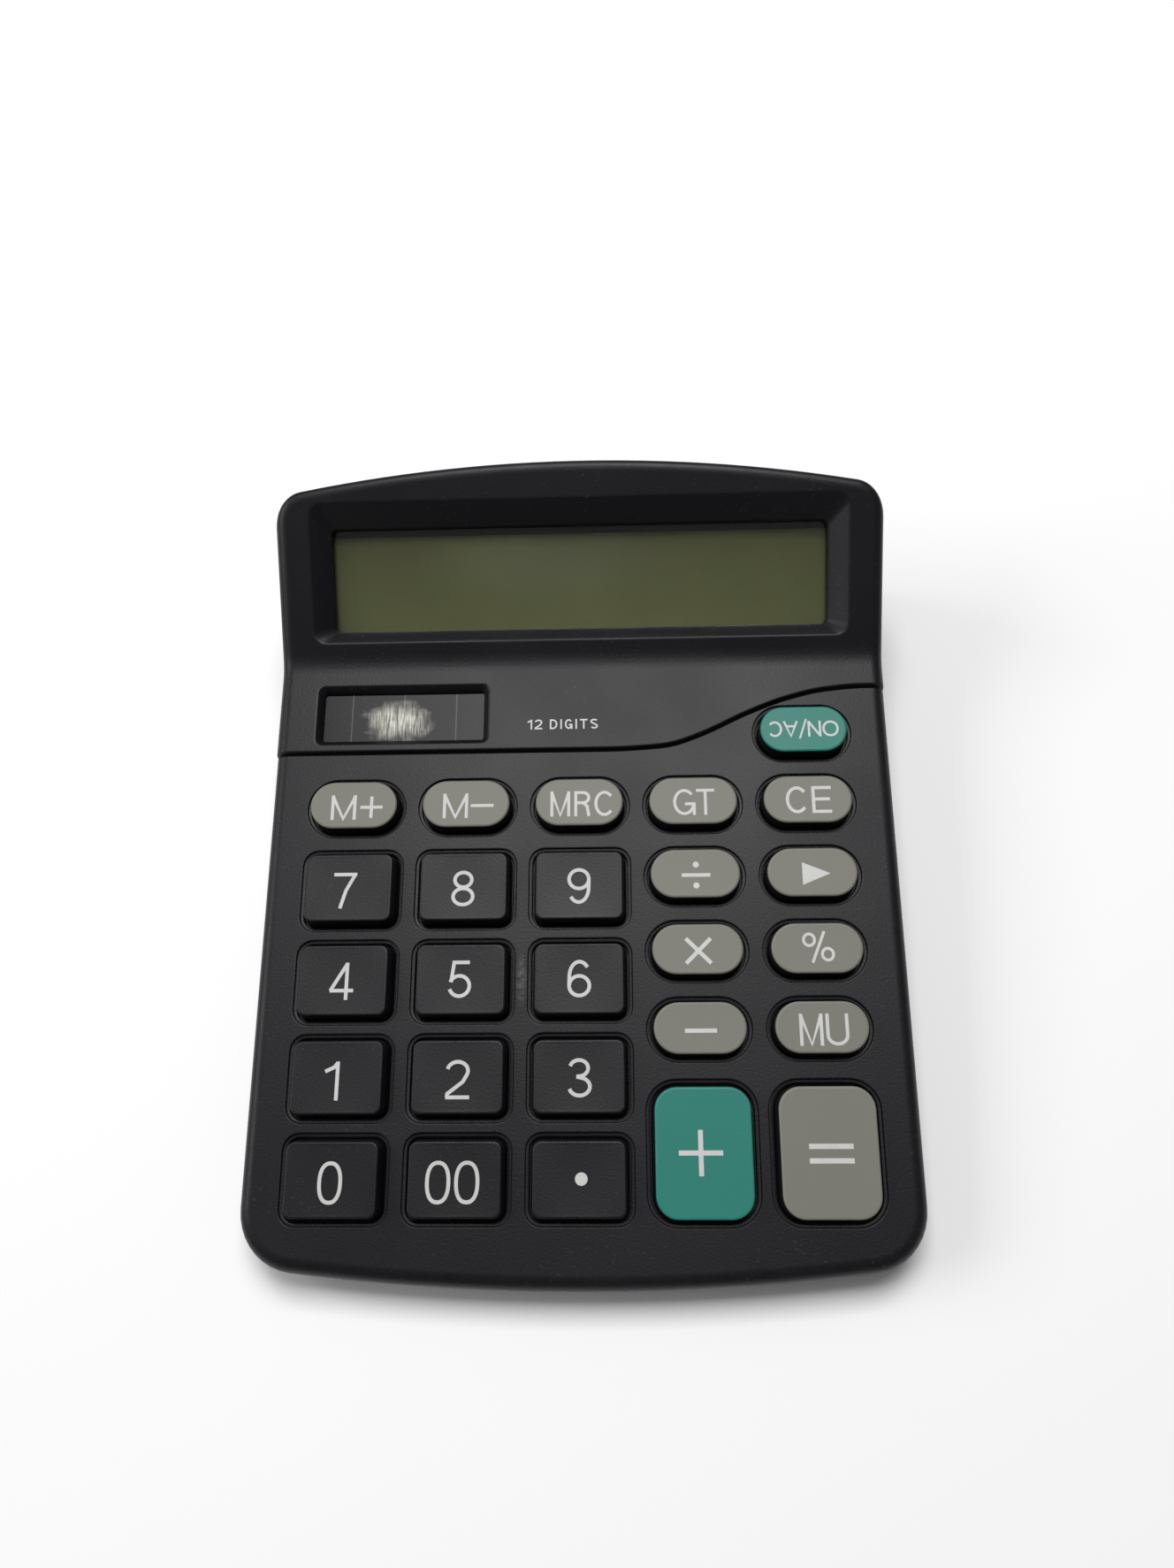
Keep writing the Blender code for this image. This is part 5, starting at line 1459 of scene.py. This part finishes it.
for side, name in ((1, "contact_positive"), (-1, "contact_negative")):
    shell = Shell()
    add_plate(shell, side)
    if side < 0:
        turns = [i / 90 for i in range(91)]
        coil = [
            (
                -28.5 + 5.2 * s,
                CELL_Y + (4.2 - 2 * s) * math.cos(6 * math.pi * s),
                CELL_Z + (4.2 - 2 * s) * math.sin(6 * math.pi * s),
            )
            for s in turns
        ]
        shell.add_loft(tube_rings(coil, 0.38, 10))
    show(name + "_plate", shell.mesh(name + "_plate"), "case", steel, "steel", name)

# ---------------------------------------------------------------------------------------------------------
# Battery cover. Its tongues run in grooves in the lower case, and it slides off to the rear. Four grooves
# across it give a thumb its grip.

def make_cover():
    rings, _ = body_rings(PARTING - 0.3)
    body, space = Shell(), Shell()
    body.add_loft(rings)
    box_shell(space, (-29.7, 50.6, -1.0), (29.7, 90.0, 6.0))
    cover = with_cut(body.mesh("cover"), space.mesh("space"), "INTERSECT")
    space = Shell()
    box_shell(space, (-60.0, 40.0, FLOOR_TOP), (60.0, 69.6, 30.0))
    for ridge in range(4):
        y = 57.6 + 2 * ridge
        space.add_block(lambda a, b, z: (a, y + 0.4 + b, z), 16.0, 0.8, 0.5, 1.6, 0.35, 0.1, 4)
    cover = with_cut(cover, space.mesh("inside"))
    space = Shell()
    for side in (-1, 1):
        ends = sorted((side * 28.7, side * 30.9))
        box_shell(space, (ends[0], 50.6, 2.1), (ends[1], 70.0, 3.0))
    cover = with_cut(cover, space.mesh("tongues"), "UNION")
    cover.name = "battery_cover_panel"
    return cover


show("battery_cover_panel", make_cover(), "battery_cover", black_case, "case", "battery_cover", sharp=30.0)

# ---------------------------------------------------------------------------------------------------------
# Screws and feet. Plated pan-head screws with a cross in each head: six through the lower case, four in the
# board and two in the display frame. Four soft rubber discs are glued into their seats under the case.

def scatter_tree(name, finish):
    """A node tree that puts a copy of one piece at each point, scaled by the Size input."""
    tree = bpy.data.node_groups.new(name, "GeometryNodeTree")
    for label, kind, way in (
        ("Places", "NodeSocketGeometry", "INPUT"),
        ("Piece", "NodeSocketObject", "INPUT"),
        ("Tilt", "NodeSocketVector", "INPUT"),
        ("Size", "NodeSocketFloat", "INPUT"),
        ("Copies", "NodeSocketGeometry", "OUTPUT"),
    ):
        tree.interface.new_socket(label, in_out=way, socket_type=kind)
    given, out = tree.nodes.new("NodeGroupInput"), tree.nodes.new("NodeGroupOutput")
    kinds = ("ObjectInfo", "InstanceOnPoints", "RealizeInstances", "SetMaterial")
    info, spread, real, coat = (tree.nodes.new("GeometryNode" + kind) for kind in kinds)
    coat.inputs["Material"].default_value = finish
    for start, end in (
        (given.outputs["Piece"], info.inputs["Object"]),
        (given.outputs["Places"], spread.inputs["Points"]),
        (info.outputs["Geometry"], spread.inputs["Instance"]),
        (given.outputs["Tilt"], spread.inputs["Rotation"]),
        (given.outputs["Size"], spread.inputs["Scale"]),
        (spread.outputs[0], real.inputs[0]),
        (real.outputs[0], coat.inputs[0]),
        (coat.outputs[0], out.inputs[0]),
    ):
        tree.links.new(start, end)
    return tree


def scattered(name, tree, mesh, places, tilt=0.0):
    """One mesh with a copy of the given one at each place, all tilted about X."""
    points = bpy.data.meshes.new(name)
    points.from_pydata([Vector(p) * 0.001 for p in places], [], [])
    holder, piece = bpy.data.objects.new(name, points), bpy.data.objects.new("piece", mesh)
    for obj in (holder, piece):
        bpy.context.scene.collection.objects.link(obj)
    change = holder.modifiers.new("copies", "NODES")
    change.node_group = tree
    names = {item.name: item.identifier for item in tree.interface.items_tree if item.in_out == "INPUT"}
    change[names["Piece"]] = piece
    change[names["Tilt"]] = (tilt, 0.0, 0.0)
    change[names["Size"]] = 1.0
    made = bpy.data.meshes.new_from_object(holder.evaluated_get(bpy.context.evaluated_depsgraph_get()))
    made.name = name
    for obj in (holder, piece):
        bpy.data.objects.remove(obj)
    return made


def screw_mesh(shank, length, head, height):
    """A screw that points up, with its head below the origin, ridges for its thread and a cross in its head."""
    section = [
        (head * 0.5, -height), (head * 0.8, -height * 0.93), (head * 0.96, -height * 0.62),
        (head, -height * 0.25),
    ]
    section += [(head, -0.03), (head - 0.03, 0.0), (shank * 0.75, 0.0)]
    turns = int(length / 0.55)
    for turn in range(turns):
        z = 0.2 + turn * (length - 0.6) / turns
        section += [(shank * 0.75, z), (shank, z + 0.2), (shank, z + 0.24), (shank * 0.75, z + 0.4)]
    section += [(shank * 0.3, length)]
    shell = Shell()
    shell.add_loft([[(x, y, z) for x, y in circle(r, 24)] for r, z in section])
    screw = shell.mesh("screw")
    for long, wide in ((head * 0.6, 0.24), (0.24, head * 0.6)):
        slot = Shell()
        box_shell(slot, (-long, -wide, -height - 1), (long, wide, -height * 0.4))
        screw = with_cut(screw, slot.mesh("slot"))
    return screw


screw_tree = scatter_tree("screw_places", steel)
case_screws = scattered(
    "case_screws", screw_tree, screw_mesh(0.95, 5.3, 2.1, 1.3), [(x, y, 3.1) for x, y in CASE_SCREWS]
)
spots = [f"{a}_{b}" for a in ("front", "middle", "rear") for b in ("left", "right")]
show("case_screws", case_screws, "case", steel, "steel", *["case_screw_" + spot for spot in spots], sharp=35.0)
small_screw = screw_mesh(0.7, 3.4, 1.4, 0.9)
board_screws = scattered(
    "board_screws", screw_tree, small_screw, [on_deck(u, v, -6.9) for u, v in BOARD_SCREWS], DECK_SLOPE
)
spots = [f"board_screw_{a}_{b}" for a in ("front", "rear") for b in ("left", "right")]
show("board_screws", board_screws, "case", steel, "steel", *spots, sharp=35.0)
holder_screws = scattered(
    "holder_screws", screw_tree, small_screw, [on_head(x, 28.9, -9.3) for x in (-15, 15)], HEAD_SLOPE
)
show(
    "holder_screws", holder_screws, "case", steel, "steel", "holder_screw_left", "holder_screw_right",
    sharp=35.0,
)

shell = Shell()
foot_section = (
    (1.2, 0.12), (1.5, 0.0), (2.6, 0.0), (2.8, 0.12), (3.0, 0.12), (3.2, 0.0), (4.3, 0.0), (4.55, 0.08),
    (4.72, 0.3), (4.9, 1.45), (4.8, 1.6),
)
shell.add_loft([[(x, y, z) for x, y in circle(r, 48)] for r, z in foot_section])
rubber = make_finish(
    "rubber", (0.018, 0.018, 0.018), 0.8, size=0.0006, depth=1.5e-5, variation=0.3, wear=0.2, dust=0.5
)
feet = scattered("feet", scatter_tree("foot_places", rubber), shell.mesh("foot"), [(x, y, 0) for x, y in FEET])
spots = [f"foot_{a}_{b}" for a in ("front", "rear") for b in ("left", "right")]
show("rubber_feet", feet, "case", rubber, "rubber", *spots)

# ---------------------------------------------------------------------------------------------------------
# Table, light and camera.

def make_stage():
    shape = bmesh.new()
    bmesh.ops.create_grid(shape, x_segments=1, y_segments=1, size=3.0)
    mesh = bpy.data.meshes.new("table_top")
    shape.to_mesh(mesh)
    shape.free()
    table = bpy.data.objects.new("table_top", mesh)
    bpy.context.scene.collection.objects.link(table)
    paint = bpy.data.materials.new("pale_paper")
    paint.use_nodes = True
    shader = paint.node_tree.nodes["Principled BSDF"]
    shader.inputs["Base Color"].default_value = (0.93, 0.93, 0.93, 1)
    shader.inputs["Roughness"].default_value = 0.9
    mesh.materials.append(paint)


def add_area(name, place, aim, size, power, colour=(1, 1, 1)):
    lamp = bpy.data.lights.new(name, "AREA")
    lamp.shape = "RECTANGLE"
    lamp.size, lamp.size_y = size
    lamp.energy = power
    lamp.color = colour
    holder = bpy.data.objects.new(name, lamp)
    holder.location = place
    direction = Vector(aim) - Vector(place)
    holder.rotation_euler = direction.to_track_quat("-Z", "Y").to_euler()
    bpy.context.scene.collection.objects.link(holder)


make_stage()
add_area("ceiling_light", (0.0, 0.38, 1.05), (0, 0, 0), (0.6, 0.5), 10.4)
add_area("left_light", (-1.1, 0.1, 0.75), (0, 0, 0), (0.8, 0.6), 7)
world = bpy.data.worlds.new("room")
world.use_nodes = True
world.node_tree.nodes["Background"].inputs["Color"].default_value = (1, 1, 1, 1)
world.node_tree.nodes["Background"].inputs["Strength"].default_value = 0.14
bpy.context.scene.world = world
bpy.context.scene.view_settings.view_transform = "Standard"

lens = bpy.data.cameras.new("camera")
lens.sensor_width = 36
lens.lens = 27.03
lens.clip_start = 0.01
camera = bpy.data.objects.new("camera", lens)
forward = Vector((-0.036, 0.38378, -0.92273)).normalized()
right = Vector((0.99925, 0.000957, -0.038544)).normalized()
up = right.cross(forward).normalized()
right = forward.cross(up).normalized()
camera.matrix_world = Matrix(
    (
        (right.x, up.x, -forward.x, 0.0094),
        (right.y, up.y, -forward.y, -0.07069),
        (right.z, up.z, -forward.z, 0.22337),
        (0, 0, 0, 1),
    )
)
bpy.context.scene.collection.objects.link(camera)
bpy.context.scene.camera = camera
